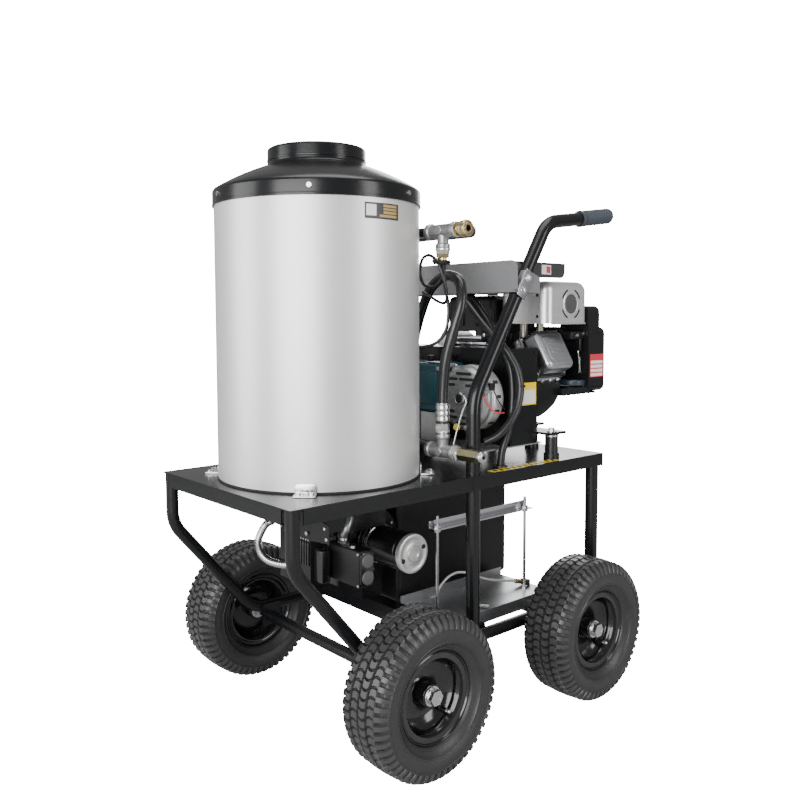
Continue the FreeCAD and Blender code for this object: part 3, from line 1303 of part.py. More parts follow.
BUILDERS = [front_deck, rear_deck, side_rails, uprights, handle_grips, rear_legs, cross_beams, axles, wheels,
            wheel_bearings, tank_jacket, tank_lid, heating_coil, burner_housing, burner_motor,
            burner_fan, ignition_box, fuel_tank, fuel_cap, battery_tray, battery_holddown, drive_base,
            engine_plate, isolators, engine_block, valve_covers, blower_shroud, muffler_shield, exhaust,
            air_cleaner, belt_guard, pulleys, drive_belts, pump, alternator, console, controls,
            pipe_fittings, relief_valve, coupler_sleeve, pressure_hose, cable_looms, zinc_brackets, fasteners]


def main():
    for build in BUILDERS:
        build()
    doc.recompute()
    for thing in doc.Objects:
        if "Invalid" in thing.State or "Error" in thing.State:
            raise RuntimeError(f"{thing.Label} ({thing.Name}): {thing.State}")
    for thing in NODES:
        if thing.Shape.isNull() or not thing.Shape.isValid():
            raise RuntimeError(f"{thing.Label}: the shape is null or not valid")
    for thing in NODES:
        thing.Shape.exportStep(f"parts/{thing.Label}.step")
        extent = thing.Shape.BoundBox
        print(f"{thing.Label:20s} {len(thing.Shape.Solids):3d} solids"
              f"  X {extent.XMin:7.1f} {extent.XMax:7.1f}  Y {extent.YMin:7.1f} {extent.YMax:7.1f}"
              f"  Z {extent.ZMin:7.1f} {extent.ZMax:7.1f}")
    print(len(NODES), "nodes")


main()
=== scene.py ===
"""The looks of the pressure washer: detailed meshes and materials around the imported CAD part."""

import json
import math

import bmesh
import bpy
from mathutils import Matrix, Vector


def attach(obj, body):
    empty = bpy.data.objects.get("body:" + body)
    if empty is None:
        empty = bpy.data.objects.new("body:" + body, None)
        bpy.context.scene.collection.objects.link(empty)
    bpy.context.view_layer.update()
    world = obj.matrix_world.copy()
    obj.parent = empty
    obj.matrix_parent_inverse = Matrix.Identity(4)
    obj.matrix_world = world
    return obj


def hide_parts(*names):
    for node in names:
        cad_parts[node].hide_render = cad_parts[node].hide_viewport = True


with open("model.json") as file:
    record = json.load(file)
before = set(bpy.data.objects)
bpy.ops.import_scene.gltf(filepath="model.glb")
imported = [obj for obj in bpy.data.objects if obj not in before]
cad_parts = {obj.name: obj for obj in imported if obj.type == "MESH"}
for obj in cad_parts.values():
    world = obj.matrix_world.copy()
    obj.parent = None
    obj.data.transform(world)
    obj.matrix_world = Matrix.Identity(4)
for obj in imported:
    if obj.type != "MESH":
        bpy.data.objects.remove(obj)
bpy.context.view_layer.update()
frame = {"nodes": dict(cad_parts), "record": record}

MM = 0.001  # metres in a millimetre, the unit of every shape below
DECK = 557  # the decks' top
SIDES = (("left", -1), ("right", 1))
SHARP = 35  # degrees between faces above which an edge stays sharp
FRONT, REAR, LEFT, RIGHT, DOWN, UP = (-1, 0, 0), (1, 0, 0), (0, -1, 0), (0, 1, 0), (0, 0, -1), (0, 0, 1)
SLOT_OF = {entry["node"]: entry["material_slot"] for entry in frame["record"]["subparts"]}
SLOT_NAMES = set(SLOT_OF.values())


# ---- materials ----

def surface(name, colour, rough, metal, grain, bump, coat=0.0, patch=0.12, patch_scale=9.0, spread=0.06,
            stretch=(1, 1, 1), shine=0.5):
    """A painted, cast or moulded surface: patchy colour and roughness, and a fine grain."""
    material = bpy.data.materials.new(name)
    material.use_nodes = True
    nodes, links = material.node_tree.nodes, material.node_tree.links
    shader = nodes["Principled BSDF"]
    shader.inputs["Metallic"].default_value = metal
    shader.inputs["Coat Weight"].default_value = coat
    shader.inputs["Coat Roughness"].default_value = 0.12
    shader.inputs["Specular IOR Level"].default_value = shine

    def added(kind, **values):
        made = nodes.new(kind)
        for socket, value in values.items():
            made.inputs[socket.replace("_", " ")].default_value = value
        return made

    place = added("ShaderNodeTexCoord")
    stretched = added("ShaderNodeMapping", Scale=stretch)
    links.new(place.outputs["Object"], stretched.inputs["Vector"])
    patches = added("ShaderNodeTexNoise", Scale=patch_scale, Detail=6)
    links.new(stretched.outputs["Vector"], patches.inputs["Vector"])
    tint = added("ShaderNodeMix")
    tint.data_type = "RGBA"
    tint.inputs["A"].default_value = [max(0.0, channel * (1 - patch)) for channel in colour] + [1]
    tint.inputs["B"].default_value = [min(1.0, channel * (1 + patch)) for channel in colour] + [1]
    links.new(patches.outputs["Fac"], tint.inputs["Factor"])
    links.new(tint.outputs["Result"], shader.inputs["Base Color"])
    ranged = added("ShaderNodeMapRange", To_Min=max(0.02, rough - spread), To_Max=min(1.0, rough + spread))
    links.new(patches.outputs["Fac"], ranged.inputs["Value"])
    links.new(ranged.outputs["Result"], shader.inputs["Roughness"])
    fine = added("ShaderNodeTexNoise", Scale=grain, Detail=3)
    links.new(stretched.outputs["Vector"], fine.inputs["Vector"])
    relief = added("ShaderNodeBump", Strength=bump, Distance=0.0004)
    links.new(fine.outputs["Fac"], relief.inputs["Height"])
    links.new(relief.outputs["Normal"], shader.inputs["Normal"])
    return material


# colour, roughness, metal, grain, bump, and what else differs
FINISHES = {
    "tank_steel": ((0.70, 0.70, 0.695), 0.40, 0.55, 1400, 0.05, dict(coat=0.08, patch=0.03,
                                                                     patch_scale=3, spread=0.03)),
    "frame_black": ((0.0050, 0.0053, 0.0060), 0.24, 0, 1600, 0.08, dict(coat=0.05, shine=0.35)),
    "deck_top": ((0.030, 0.031, 0.033), 0.52, 0, 1600, 0.12, {}),
    "rim_black": ((0.005, 0.005, 0.0055), 0.15, 0, 500, 0.03, dict(coat=0.3)),
    "tyre_rubber": ((0.020, 0.020, 0.021), 0.42, 0, 900, 0.35, dict(patch=0.3, patch_scale=30)),
    # painted highlight: a lighter copy of the tyre rubber for the tread blocks, as if their tops were lit
    "tread_rubber": ((0.036, 0.036, 0.037), 0.36, 0, 900, 0.35, dict(patch=0.3)),
    # painted shade: a darker copy of the tyre rubber for the floor between the tread blocks
    "groove_rubber": ((0.004, 0.004, 0.004), 0.6, 0, 900, 0.3, {}),
    "cap_grey": ((0.075, 0.075, 0.08), 0.42, 0, 900, 0.2, {}),
    "hood_grey": ((0.035, 0.036, 0.038), 0.36, 0, 1500, 0.08, dict(coat=0.05)),
    "cast_bright": ((0.66, 0.66, 0.65), 0.36, 0.75, 500, 0.25, dict(patch_scale=40)),
    "mesh_grey": ((0.15, 0.15, 0.15), 0.5, 0.7, 700, 0.3, {}),
    "grip_rubber": ((0.040, 0.048, 0.062), 0.62, 0, 1500, 0.25, {}),
    "hose_rubber": ((0.010, 0.010, 0.011), 0.26, 0, 1200, 0.15, {}),
    "cable_black": ((0.010, 0.010, 0.011), 0.30, 0, 1200, 0.2, {}),
    "belt_rubber": ((0.02, 0.02, 0.02), 0.7, 0, 1200, 0.3, {}),
    "zinc": ((0.58, 0.58, 0.60), 0.24, 1, 900, 0.06, dict(patch=0.05, patch_scale=30)),
    "bright_steel": ((0.58, 0.58, 0.59), 0.24, 1, 900, 0.05, dict(patch=0.05, patch_scale=80)),
    "tray_steel": ((0.36, 0.37, 0.38), 0.34, 0.85, 900, 0.08, {}),
    "grey_paint": ((0.26, 0.262, 0.27), 0.38, 0.35, 1500, 0.10, dict(coat=0.05, patch=0.05)),
    "brass": ((0.62, 0.50, 0.27), 0.24, 1, 800, 0.1, dict(patch_scale=70)),
    "brass_olive": ((0.34, 0.32, 0.19), 0.30, 1, 800, 0.1, dict(patch_scale=70)),
    "aluminium": ((0.50, 0.51, 0.53), 0.34, 1, 500, 0.35, dict(patch_scale=40)),
    "heat_shield_steel": ((0.74, 0.74, 0.74), 0.33, 0.8, 500, 0.06, dict(stretch=(1, 1, 14), patch=0.06)),
    "engine_metal": ((0.035, 0.036, 0.038), 0.45, 0.6, 500, 0.4, dict(patch_scale=40)),
    "exhaust_steel": ((0.40, 0.37, 0.33), 0.38, 0.9, 500, 0.2, dict(patch=0.3, patch_scale=25)),
    "pump_teal": ((0.006, 0.070, 0.095), 0.34, 0, 900, 0.15, dict(coat=0.3)),
    "motor_black": ((0.006, 0.006, 0.007), 0.24, 0, 1200, 0.1, dict(coat=0.3)),
    "machined_iron": ((0.20, 0.20, 0.21), 0.36, 0.9, 700, 0.2, {}),
    "plastic_black": ((0.006, 0.006, 0.0066), 0.40, 0, 1100, 0.3, dict(shine=0.3)),
    "key_steel": ((0.6, 0.6, 0.6), 0.2, 1, 900, 0.05, {}),
    "bright_nut": ((0.74, 0.74, 0.72), 0.26, 0.9, 800, 0.1, dict(patch_scale=60)),
    "cast_grey": ((0.36, 0.365, 0.37), 0.36, 0.85, 450, 0.6, dict(patch_scale=50)),
    # painted shade: this near-black stands for the darkness inside holes, slots and recesses, and at the
    # tank's foot
    "dark_hole": ((0.006, 0.006, 0.006), 0.7, 0, 600, 0.1, {}),
    "copper_socket": ((0.20, 0.09, 0.035), 0.4, 0.6, 600, 0.1, {}),
    "sticker_yellow": ((0.90, 0.64, 0.0), 0.4, 0, 900, 0.02, dict(patch=0.04)),
    "sticker_white": ((0.78, 0.78, 0.77), 0.4, 0, 900, 0.02, dict(patch=0.03)),
    "sticker_red": ((0.60, 0.03, 0.05), 0.4, 0, 900, 0.02, dict(patch=0.04)),
    "sticker_dark": ((0.03, 0.03, 0.03), 0.4, 0, 900, 0.02, dict(patch=0.04)),
    "sticker_tan": ((0.40, 0.28, 0.10), 0.4, 0, 900, 0.02, dict(patch=0.04)),
    "wire_red": ((0.72, 0.05, 0.07), 0.4, 0, 900, 0.05, {}),
    "clear_hose": ((0.50, 0.48, 0.45), 0.25, 0, 900, 0.05, dict(coat=0.3)),
    "filter_blue": ((0.020, 0.032, 0.045), 0.35, 0, 900, 0.1, dict(coat=0.2)),
}
LOOKS = {name: surface(name, *common, **more) for name, (*common, more) in FINISHES.items()}


# ---- mesh helpers: sizes in millimetres ----

def piece(name, points, faces, look, body="machine", slot=None, sharp=SHARP, hides=()):
    """One visible mesh, which rides on a CAD body."""
    mesh = bpy.data.meshes.new(name)
    mesh.from_pydata([Vector(point) * MM for point in points], [], faces)
    mesh.validate()
    made = bmesh.new()
    made.from_mesh(mesh)
    bmesh.ops.remove_doubles(made, verts=made.verts, dist=1e-6)
    bmesh.ops.recalc_face_normals(made, faces=made.faces)
    made.to_mesh(mesh)
    made.free()
    mesh.materials.append(LOOKS[look])
    return finish_piece(bpy.data.objects.new(name, mesh), look, body, slot, sharp, hides)


def finish_piece(thing, look, body, slot, sharp, hides):
    """Shade a piece, and say which body it rides on."""
    bpy.context.scene.collection.objects.link(thing)
    shade(thing.data, sharp)
    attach(thing, body)
    if slot or look in SLOT_NAMES:
        slot or look
    if hides:
        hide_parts(*hides)
    return thing


def shade(mesh, sharp):
    """Smooth faces with sharp edges where the angle is wide."""
    mesh.polygons.foreach_set("use_smooth", [True] * len(mesh.polygons))
    mesh.set_sharp_from_angle(angle=math.radians(sharp))


def frame_of(axis):
    """Two unit vectors across an axis."""
    axis = Vector(axis).normalized()
    side = Vector(UP) if abs(axis.z) < 0.9 else Vector(REAR)
    first = axis.cross(side).normalized()
    return axis, first, axis.cross(first).normalized()


def belt(count, first=0):
    """The faces between one ring of points and the next."""
    return [(first + i, first + (i + 1) % count, first + count + (i + 1) % count, first + count + i)
            for i in range(count)]


def turned(profile, centre, axis, segments=96):
    """Points and faces of a profile [(radius, height), ...] turned about an axis."""
    axis, first, second = frame_of(axis)
    centre = Vector(centre)
    points = []
    for step in range(segments):
        angle = math.tau * step / segments
        out = first * math.cos(angle) + second * math.sin(angle)
        points += [centre + axis * height + out * radius for radius, height in profile]
    count = len(profile)
    faces = []
    for step in range(segments):
        here, there = step * count, (step + 1) % segments * count
        for i in range(count - 1):
            faces.append((here + i, here + i + 1, there + i + 1, there + i))
    return points, faces


def lathe(name, profile, centre, axis, look, segments=96, **more):
    """A turned piece."""
    points, faces = turned(profile, centre, axis, segments)
    return piece(name, points, faces, look, **more)


def smoothed(points, steps=8):
    """A Catmull-Rom line through the points."""
    points = [Vector(point) for point in points]
    ends = [2 * points[0] - points[1]] + points + [2 * points[-1] - points[-2]]
    line = []
    for a, b, c, d in zip(ends, ends[1:], ends[2:], ends[3:]):
        for step in range(steps):
            t = step / steps
            line.append(0.5 * (2 * b + (c - a) * t + (2 * a - 5 * b + 4 * c - d) * t ** 2
                               + (3 * b - a - 3 * c + d) * t ** 3))
    return line + [points[-1]]


def swept(path, radius, segments=16, steps=8):
    """Points and faces of a round tube along a smooth line."""
    line = smoothed(path, steps)
    heading = (line[1] - line[0]).normalized()
    across = frame_of(heading)[1]
    points = []
    for i, here in enumerate(line):
        ahead = (line[min(i + 1, len(line) - 1)] - line[max(i - 1, 0)]).normalized()
        across = (across - ahead * across.dot(ahead)).normalized()
        other = ahead.cross(across)
        wide = radius(i / (len(line) - 1)) if callable(radius) else radius
        for step in range(segments):
            angle = math.tau * step / segments
            points.append(here + (across * math.cos(angle) + other * math.sin(angle)) * wide)
    faces = []
    for i in range(len(line) - 1):
        for step in range(segments):
            after = (step + 1) % segments
            low, high = i * segments, (i + 1) * segments
            faces.append((low + step, low + after, high + after, high + step))
    faces.append(tuple(range(segments))[::-1])
    faces.append(tuple(range(len(points) - segments, len(points))))
    return points, faces


def tube(name, path, radius, look, segments=16, steps=8, **more):
    """A round wire, hose or rod."""
    points, faces = swept(path, radius, segments, steps)
    return piece(name, points, faces, look, **more)


def block(name, low, high, look, bevel=1.0, turn=None, **more):
    """A box between two corners with bevelled edges.  turn is (pivot, axis, degrees)."""
    points = [(x, y, z) for x in (low[0], high[0]) for y in (low[1], high[1]) for z in (low[2], high[2])]
    faces = [(0, 1, 3, 2), (4, 6, 7, 5), (0, 4, 5, 1), (2, 3, 7, 6), (0, 2, 6, 4), (1, 5, 7, 3)]
    thing = piece(name, points, faces, look, **more)
    soften(thing, bevel, more.get("sharp", SHARP))
    if turn:
        rotate(thing, *turn)
    return thing


def soften(thing, width, sharp=SHARP, segments=3, angle=25):
    """Bevel the sharp edges of a piece."""
    if width <= 0:
        return
    made = bmesh.new()
    made.from_mesh(thing.data)
    edges = [edge for edge in made.edges
             if len(edge.link_faces) == 2 and edge.calc_face_angle(0) > math.radians(angle)]
    bmesh.ops.bevel(made, geom=edges, offset=width * MM, segments=segments, profile=0.5, affect="EDGES",
                    clamp_overlap=True)
    made.to_mesh(thing.data)
    made.free()
    shade(thing.data, sharp)


def rotate(thing, pivot, axis, degrees):
    """Turn the mesh itself about a point."""
    spin = Matrix.Rotation(math.radians(degrees), 4, Vector(axis))
    middle = Vector(pivot) * MM
    thing.data.transform(Matrix.Translation(middle) @ spin @ Matrix.Translation(-middle))


def prism(name, outline, start, axis, depth, look, bevel=0.5, **more):
    """A flat outline, in the two directions across the axis in X, Y, Z order, given a depth."""
    index = "XYZ".index(axis)
    others = [i for i in range(3) if i != index]
    points = []
    for height in (start, start + depth):
        for first, second in outline:
            point = [0, 0, 0]
            point[index] = height
            point[others[0]], point[others[1]] = first, second
            points.append(point)
    count = len(outline)
    faces = [tuple(range(count)), tuple(range(2 * count - 1, count - 1, -1))]
    thing = piece(name, points, faces + belt(count), look, **more)
    soften(thing, bevel, more.get("sharp", SHARP))
    return thing


def nut(name, start, axis, across, depth, look="zinc", **more):
    """A hexagon nut or bolt head with a domed end."""
    axis, first, second = frame_of(axis)
    radius = across / math.sqrt(3)
    start = Vector(start)
    rings = [(radius, 0), (radius, depth * 0.85), (radius * 0.86, depth)]
    points = []
    for wide, height in rings:
        for step in range(6):
            angle = math.pi / 3 * step
            points.append(start + axis * height + (first * math.cos(angle) + second * math.sin(angle)) * wide)
    faces = [tuple(range(6)), tuple(range(12, 18))]
    return piece(name, points, faces + belt(6) + belt(6, 6), look, **more)


def merged(parts):
    """Several (points, faces) pairs as one pair."""
    points, faces = [], []
    for some_points, some_faces in parts:
        base = len(points)
        points += list(some_points)
        faces += [tuple(base + i for i in face) for face in some_faces]
    return points, faces


def joined(name, parts, look, **more):
    """Several (points, faces) pairs as one piece."""
    return piece(name, *merged(parts), look, **more)


def disc(name, radius, low, high, centre, axis, look, segments=96, **more):
    """A plain cylinder between two heights along an axis."""
    profile = [(0, low), (radius, low), (radius, high), (0, high)]
    return lathe(name, profile, centre, axis, look, segments, **more)


def screw(name, size, at, axis, look="zinc", segments=24):
    """A domed screw head.  size is its radius, its edge's radius, its edge's height and its own height."""
    wide, top, edge, height = size
    lathe(name, [(0, 0), (wide, 0), (top, edge), (0, height)], at, axis, look, segments)


def screws(name, size, places, axis, look="zinc", segments=24):
    """A row of screw heads that differ only in where they are."""
    for index, at in enumerate(places):
        screw(f"{name}_{index}", size, at, axis, look, segments)


def nuts(name, places, axis, across, depth, look="zinc"):
    """The same for hexagon nuts and bolt heads."""
    for index, at in enumerate(places):
        nut(f"{name}_{index}", at, axis, across, depth, look)


def around(centre, radius, angle):
    """A point on a circle."""
    return centre[0] + radius * math.cos(angle), centre[1] + radius * math.sin(angle)


def arc(centre, radius, first, last, steps):
    """Points on an arc between two angles in degrees."""
    return [around(centre, radius, math.radians(first + (last - first) * i / steps))
            for i in range(steps + 1)]


# ---- CAD nodes keep their shapes and take the materials above ----

for node_name, shown in frame["nodes"].items():
    for slot in shown.material_slots:
        slot.material = LOOKS[SLOT_OF[node_name]]


# ---- camera, light and floor ----

def look_from():
    """The camera: where it stands, and the way it faces."""
    camera = bpy.data.objects.new("camera", bpy.data.cameras.new("camera"))
    bpy.context.scene.collection.objects.link(camera)
    camera.location = Vector((-1349.9, -1488.2, 909.2)) * MM
    yaw, pitch, roll = math.radians(49.768), math.radians(-3.98), math.radians(0.262)
    ahead = Vector((math.cos(pitch) * math.cos(yaw), math.cos(pitch) * math.sin(yaw), math.sin(pitch)))
    aim = ahead.to_track_quat("-Z", "Y").to_matrix()
    camera.rotation_euler = (aim @ Matrix.Rotation(-roll, 3, "Z")).to_euler()
    camera.data.lens = 37.29
    camera.data.sensor_width = 36
    camera.data.shift_x = 0.026
    camera.data.shift_y = -0.0336
    camera.data.clip_end = 50
    bpy.context.scene.camera = camera


def area_light(name, at, towards, width, height, power):
    """A soft box that faces a point."""
    lamp = bpy.data.objects.new(name, bpy.data.lights.new(name, "AREA"))
    lamp.data.shape = "RECTANGLE"
    lamp.data.size = width
    lamp.data.size_y = height
    lamp.data.energy = power
    lamp.location = at
    lamp.rotation_euler = (Vector(towards) - Vector(at)).to_track_quat("-Z", "Y").to_euler()
    bpy.context.scene.collection.objects.link(lamp)


def studio():
    """White surroundings, five soft boxes and a pale floor."""
    world = bpy.data.worlds.new("studio")
    bpy.context.scene.world = world
    world.use_nodes = True
    nodes, links = world.node_tree.nodes, world.node_tree.links
    fill = nodes["Background"]
    fill.inputs["Color"].default_value = (1, 1, 1, 1)
    fill.inputs["Strength"].default_value = 0.36
    backdrop = nodes.new("ShaderNodeBackground")
    backdrop.inputs["Color"].default_value = (1, 1, 1, 1)
    backdrop.inputs["Strength"].default_value = 22.0
    links.new(seen_by_camera(nodes, links, fill, backdrop), nodes["World Output"].inputs["Surface"])
    area_light("left_box", (-3.1, -1.7, 1.4), (-0.2, 0, 0.8), 2.6, 2.4, 165)
    area_light("side_box", (-2.9, 1.4, 1.3), (-0.2, 0, 0.8), 1.6, 2.2, 60)
    area_light("near_box", (1.0, -3.3, 1.5), (0.1, 0, 0.7), 1.0, 2.4, 55)
    area_light("top_box", (-0.1, -0.3, 3.4), (0, 0, 0.5), 2.2, 2.2, 60)
    area_light("far_box", (2.6, 2.0, 1.9), (0.1, 0, 0.8), 1.6, 2.0, 45)
    mesh = bpy.data.meshes.new("floor")
    mesh.from_pydata([(-9, -9, 0), (9, -9, 0), (9, 9, 0), (-9, 9, 0)], [], [(0, 1, 2, 3)])
    floor = bpy.data.objects.new("floor", mesh)
    bpy.context.scene.collection.objects.link(floor)
    mesh.materials.append(floor_material())


def seen_by_camera(nodes, links, lighting, shown):
    """One shader for the light that falls on the object, another for what the camera sees."""
    path = nodes.new("ShaderNodeLightPath")
    mixed = nodes.new("ShaderNodeMixShader")
    links.new(path.outputs["Is Camera Ray"], mixed.inputs["Fac"])
    links.new(lighting.outputs[0], mixed.inputs[1])
    links.new(shown.outputs[0], mixed.inputs[2])
    return mixed.outputs[0]


def floor_material():
    """A pale studio floor that looks nearly white."""
    material = bpy.data.materials.new("floor_white")
    material.use_nodes = True
    nodes, links = material.node_tree.nodes, material.node_tree.links
    lighting = nodes["Principled BSDF"]
    lighting.inputs["Base Color"].default_value = (0.45, 0.45, 0.45, 1)
    lighting.inputs["Roughness"].default_value = 0.9
    shown = nodes.new("ShaderNodeBsdfPrincipled")
    shown.inputs["Base Color"].default_value = (0.9, 0.9, 0.9, 1)
    shown.inputs["Roughness"].default_value = 0.9
    shown.inputs["Emission Color"].default_value = (1, 1, 1, 1)
    shown.inputs["Emission Strength"].default_value = 20.0
    links.new(seen_by_camera(nodes, links, lighting, shown), nodes["Material Output"].inputs["Surface"])
    return material


# ---- wheels ----

TREAD_PITCHES = 56
CROWN = 165  # the tread's outer radius
GROOVE = 155  # the radius where a block meets the carcass
RIB_START, RIB_WIDTH = 0.06, 0.66  # where a shoulder rib lies in its pitch
BLOCK_ROWS = ((-34, 9.8, 0.5, 3.0), (-11.3, 10, 0.0, -3.0), (11.3, 10, 0.5, 3.0), (34, 9.8, 0.0, -3.0))


def crown(across):
    """The tread's outer radius at a distance from the tyre's middle."""
    return CROWN - 3.2 * (across / 46) ** 2


def lug(outline):
    """A rubber block.  outline is [(along, across), ...] in millimetres on the tread."""
    middle = [sum(point[i] for point in outline) / len(outline) for i in (0, 1)]
    rings = []
    for shrink, lift in ((1.0, None), (0.96, -1.6), (0.84, 0.0)):
        for along, across in outline:
            along = middle[0] + (along - middle[0]) * shrink
            across = middle[1] + (across - middle[1]) * shrink
            radius = GROOVE if lift is None else crown(across) + lift
            angle = along / CROWN
            rings.append((radius * math.cos(angle), across, radius * math.sin(angle)))
    count = len(outline)
    return rings, [tuple(range(2 * count, 3 * count))] + belt(count) + belt(count, count)


def spin_part(part, angle):
    """Turn a part of the tyre about the axle."""
    points, faces = part
    c, s = math.cos(angle), math.sin(angle)
    return [(x * c - z * s, y, x * s + z * c) for x, y, z in points], faces


def shoulder_lug(side, width):
    """A rib that runs from the tread's edge down the shoulder."""
    line = [(44, 163.4), (50, 160.5), (55.5, 154.5), (59.6, 146), (60.6, 139)]
    floor = [(44, 157), (48, 156), (52.5, 151.5), (57, 144.5), (59.0, 138)]
    points = []
    for (across, radius), (low_across, low_radius) in zip(line, floor):
        taper = 1 if radius > 150 else 0.86
        for reach, (w, r) in ((0, (low_across, low_radius)), (0.12, (across, radius)),
                              (0.88, (across, radius)), (1, (low_across, low_radius))):
            angle = width * (0.5 + (reach - 0.5) * taper) / CROWN
            points.append((r * math.cos(angle), side * w, r * math.sin(angle)))
    faces = []
    for i in range(len(line) - 1):
        for step in range(3):
            a = 4 * i + step
            faces.append((a, a + 1, a + 5, a + 4))
    faces += [(0, 1, 2, 3), tuple(4 * len(line) - 4 + i for i in range(4))]
    return points, faces


def tyre_parts():
    """The carcass and its turf tread, about the origin with the axle along Y."""
    half = [(156, 0), (156, 20), (155.5, 38), (154.8, 46), (152.0, 51.8), (147, 56.0), (140.5, 58.6),
            (138.6, 60.6), (136.6, 60.8), (135.4, 59.6), (128, 60.2), (121, 59.4), (114, 56.8),
            (112.6, 57.6), (110.6, 56.8), (109.4, 54.6), (103, 50.4), (99.5, 47.6), (98.4, 48.2),
            (95.6, 46.4), (93.4, 42.0), (92.4, 39.4), (77, 39.4), (77, 31), (100, 36), (130, 48), (148, 40)]
    profile = half + [(radius, -across) for radius, across in reversed(half)]
    carcass = turned(profile, (0, 0, 0), RIGHT, 168)
    parts = []
    pitch = math.tau * CROWN / TREAD_PITCHES
    for index in range(TREAD_PITCHES):
        turn = math.tau * index / TREAD_PITCHES
        for across, half_width, offset, bend in BLOCK_ROWS:
            outline = wavy(pitch * 0.395, across, half_width, bend)
            parts.append(spin_part(lug(outline), turn + offset * pitch / CROWN))
        for side in (-1, 1):
            rib = shoulder_lug(side, pitch * RIB_WIDTH)
            parts.append(spin_part(rib, turn + RIB_START * pitch / CROWN))
    return carcass, parts


def groove_shade_band():
    """A closed band of darker rubber between the blocks: painted shade in the grooves."""
    over = [(158.6, 0), (158.6, 20), (158.0, 38), (156.6, 46), (153.4, 51.6)]
    return over[::-1] + [(radius, -across) for radius, across in over[1:]] + [(150, -50), (150, 50), over[-1]]


def wavy(half_length, across, half_width, bend):
    """A block's outline with bent ends, so that neighbouring rows interlock."""
    outline = []
    for end, sign in ((-1, 1), (1, -1)):
        for reach in (-1, -0.35, 0.35, 1):
            step = reach * sign
            along = end * half_length + (bend if abs(reach) < 1 else -bend) / 2
            narrow = 0.86 if abs(reach) == 1 and end * bend > 0 else 1
            outline.append((along, across + step * half_width * narrow))
    return outline


RIM_PROFILE = [(17.6, 28), (21.5, 28), (22.5, 27), (22.5, -1), (24, -3.5), (30, -5), (44, -5.2), (53, -3.6),
               (61, -0.4), (68, 4.6), (74, 11.2), (78.6, 18.6), (82.2, 26), (85, 33), (87.2, 38.6),
               (88.8, 42.2), (90.4, 43.4), (92, 42.6), (92.2, 40.2), (89.6, 39), (86.4, 34), (83, 27),
               (79, 21.6), (75.6, 17), (75, 12), (75, -36), (80, -39.7), (88, -39.7), (92.2, -40.2),
               (92, -42.6), (90.4, -43.4), (88.4, -42.2), (86, -39), (78, -36.5), (74, -32), (72.4, -10),
               (68, 2.5), (64, -1), (58, -5.4), (50, -8), (44, -8.8), (24, -9), (22.5, -11), (22.5, -33),
               (21.5, -34), (17.6, -34), (17.6, 28)]


def wheel(end, side):
    """A tyre and a rim, placed on one axle end."""
    sign = -1 if side == "left" else 1
    middle = Vector((-255.5 if end == "front" else 276.6, sign * 321, 165))
    corner = f"{end}_{side}"
    body, out = f"{corner}_wheel", (0, sign, 0)
    start = 0.035 * (end == "rear") + 0.02 * (side == "right")
    carcass, lugs = tyre_parts()
    # The tread blocks take a lighter copy of the tyre rubber, a painted highlight on their tops.
    for name, parts, look in (("carcass", [carcass], "tyre_rubber"), ("tread", lugs, "tread_rubber")):
        points, faces = merged([spin_part(part, start) for part in parts])
        points = [middle + Vector((x, sign * y, z)) for x, y, z in points]
        piece(f"{corner}_{name}", points, faces, look, body=body, sharp=32, hides=[f"{corner}_tyre"])
    # A darker band between the blocks: painted shade in the grooves.
    lathe(f"{corner}_groove_shade_band", groove_shade_band(), middle, out, "groove_rubber", segments=168,
          body=body)
    lathe(f"{corner}_dish", RIM_PROFILE, middle, out, "rim_black", segments=128, body=body, sharp=50,
          hides=[f"{corner}_rim"])
    valve = middle + Vector((44, sign * 8, -44))
    stem = [(0, -2), (6.5, -2), (6.5, 1), (4.2, 3), (3.8, 15), (3.0, 17), (3.0, 25), (0, 25)]
    lathe(f"{corner}_valve", stem, valve, out, "plastic_black", segments=20, body=body)
    lathe(f"{corner}_valve_cap", [(0, 17), (3.8, 17), (3.8, 26), (3.0, 27), (0, 27)], valve, out,
          "bright_nut", segments=20, body=body)


for end_name in ("front", "rear"):
    for side_name in ("left", "right"):
        wheel(end_name, side_name)


# ---- coil tank ----

TANK = Vector((-266.6, 0, 0))
JACKET = 223  # the jacket's outer radius


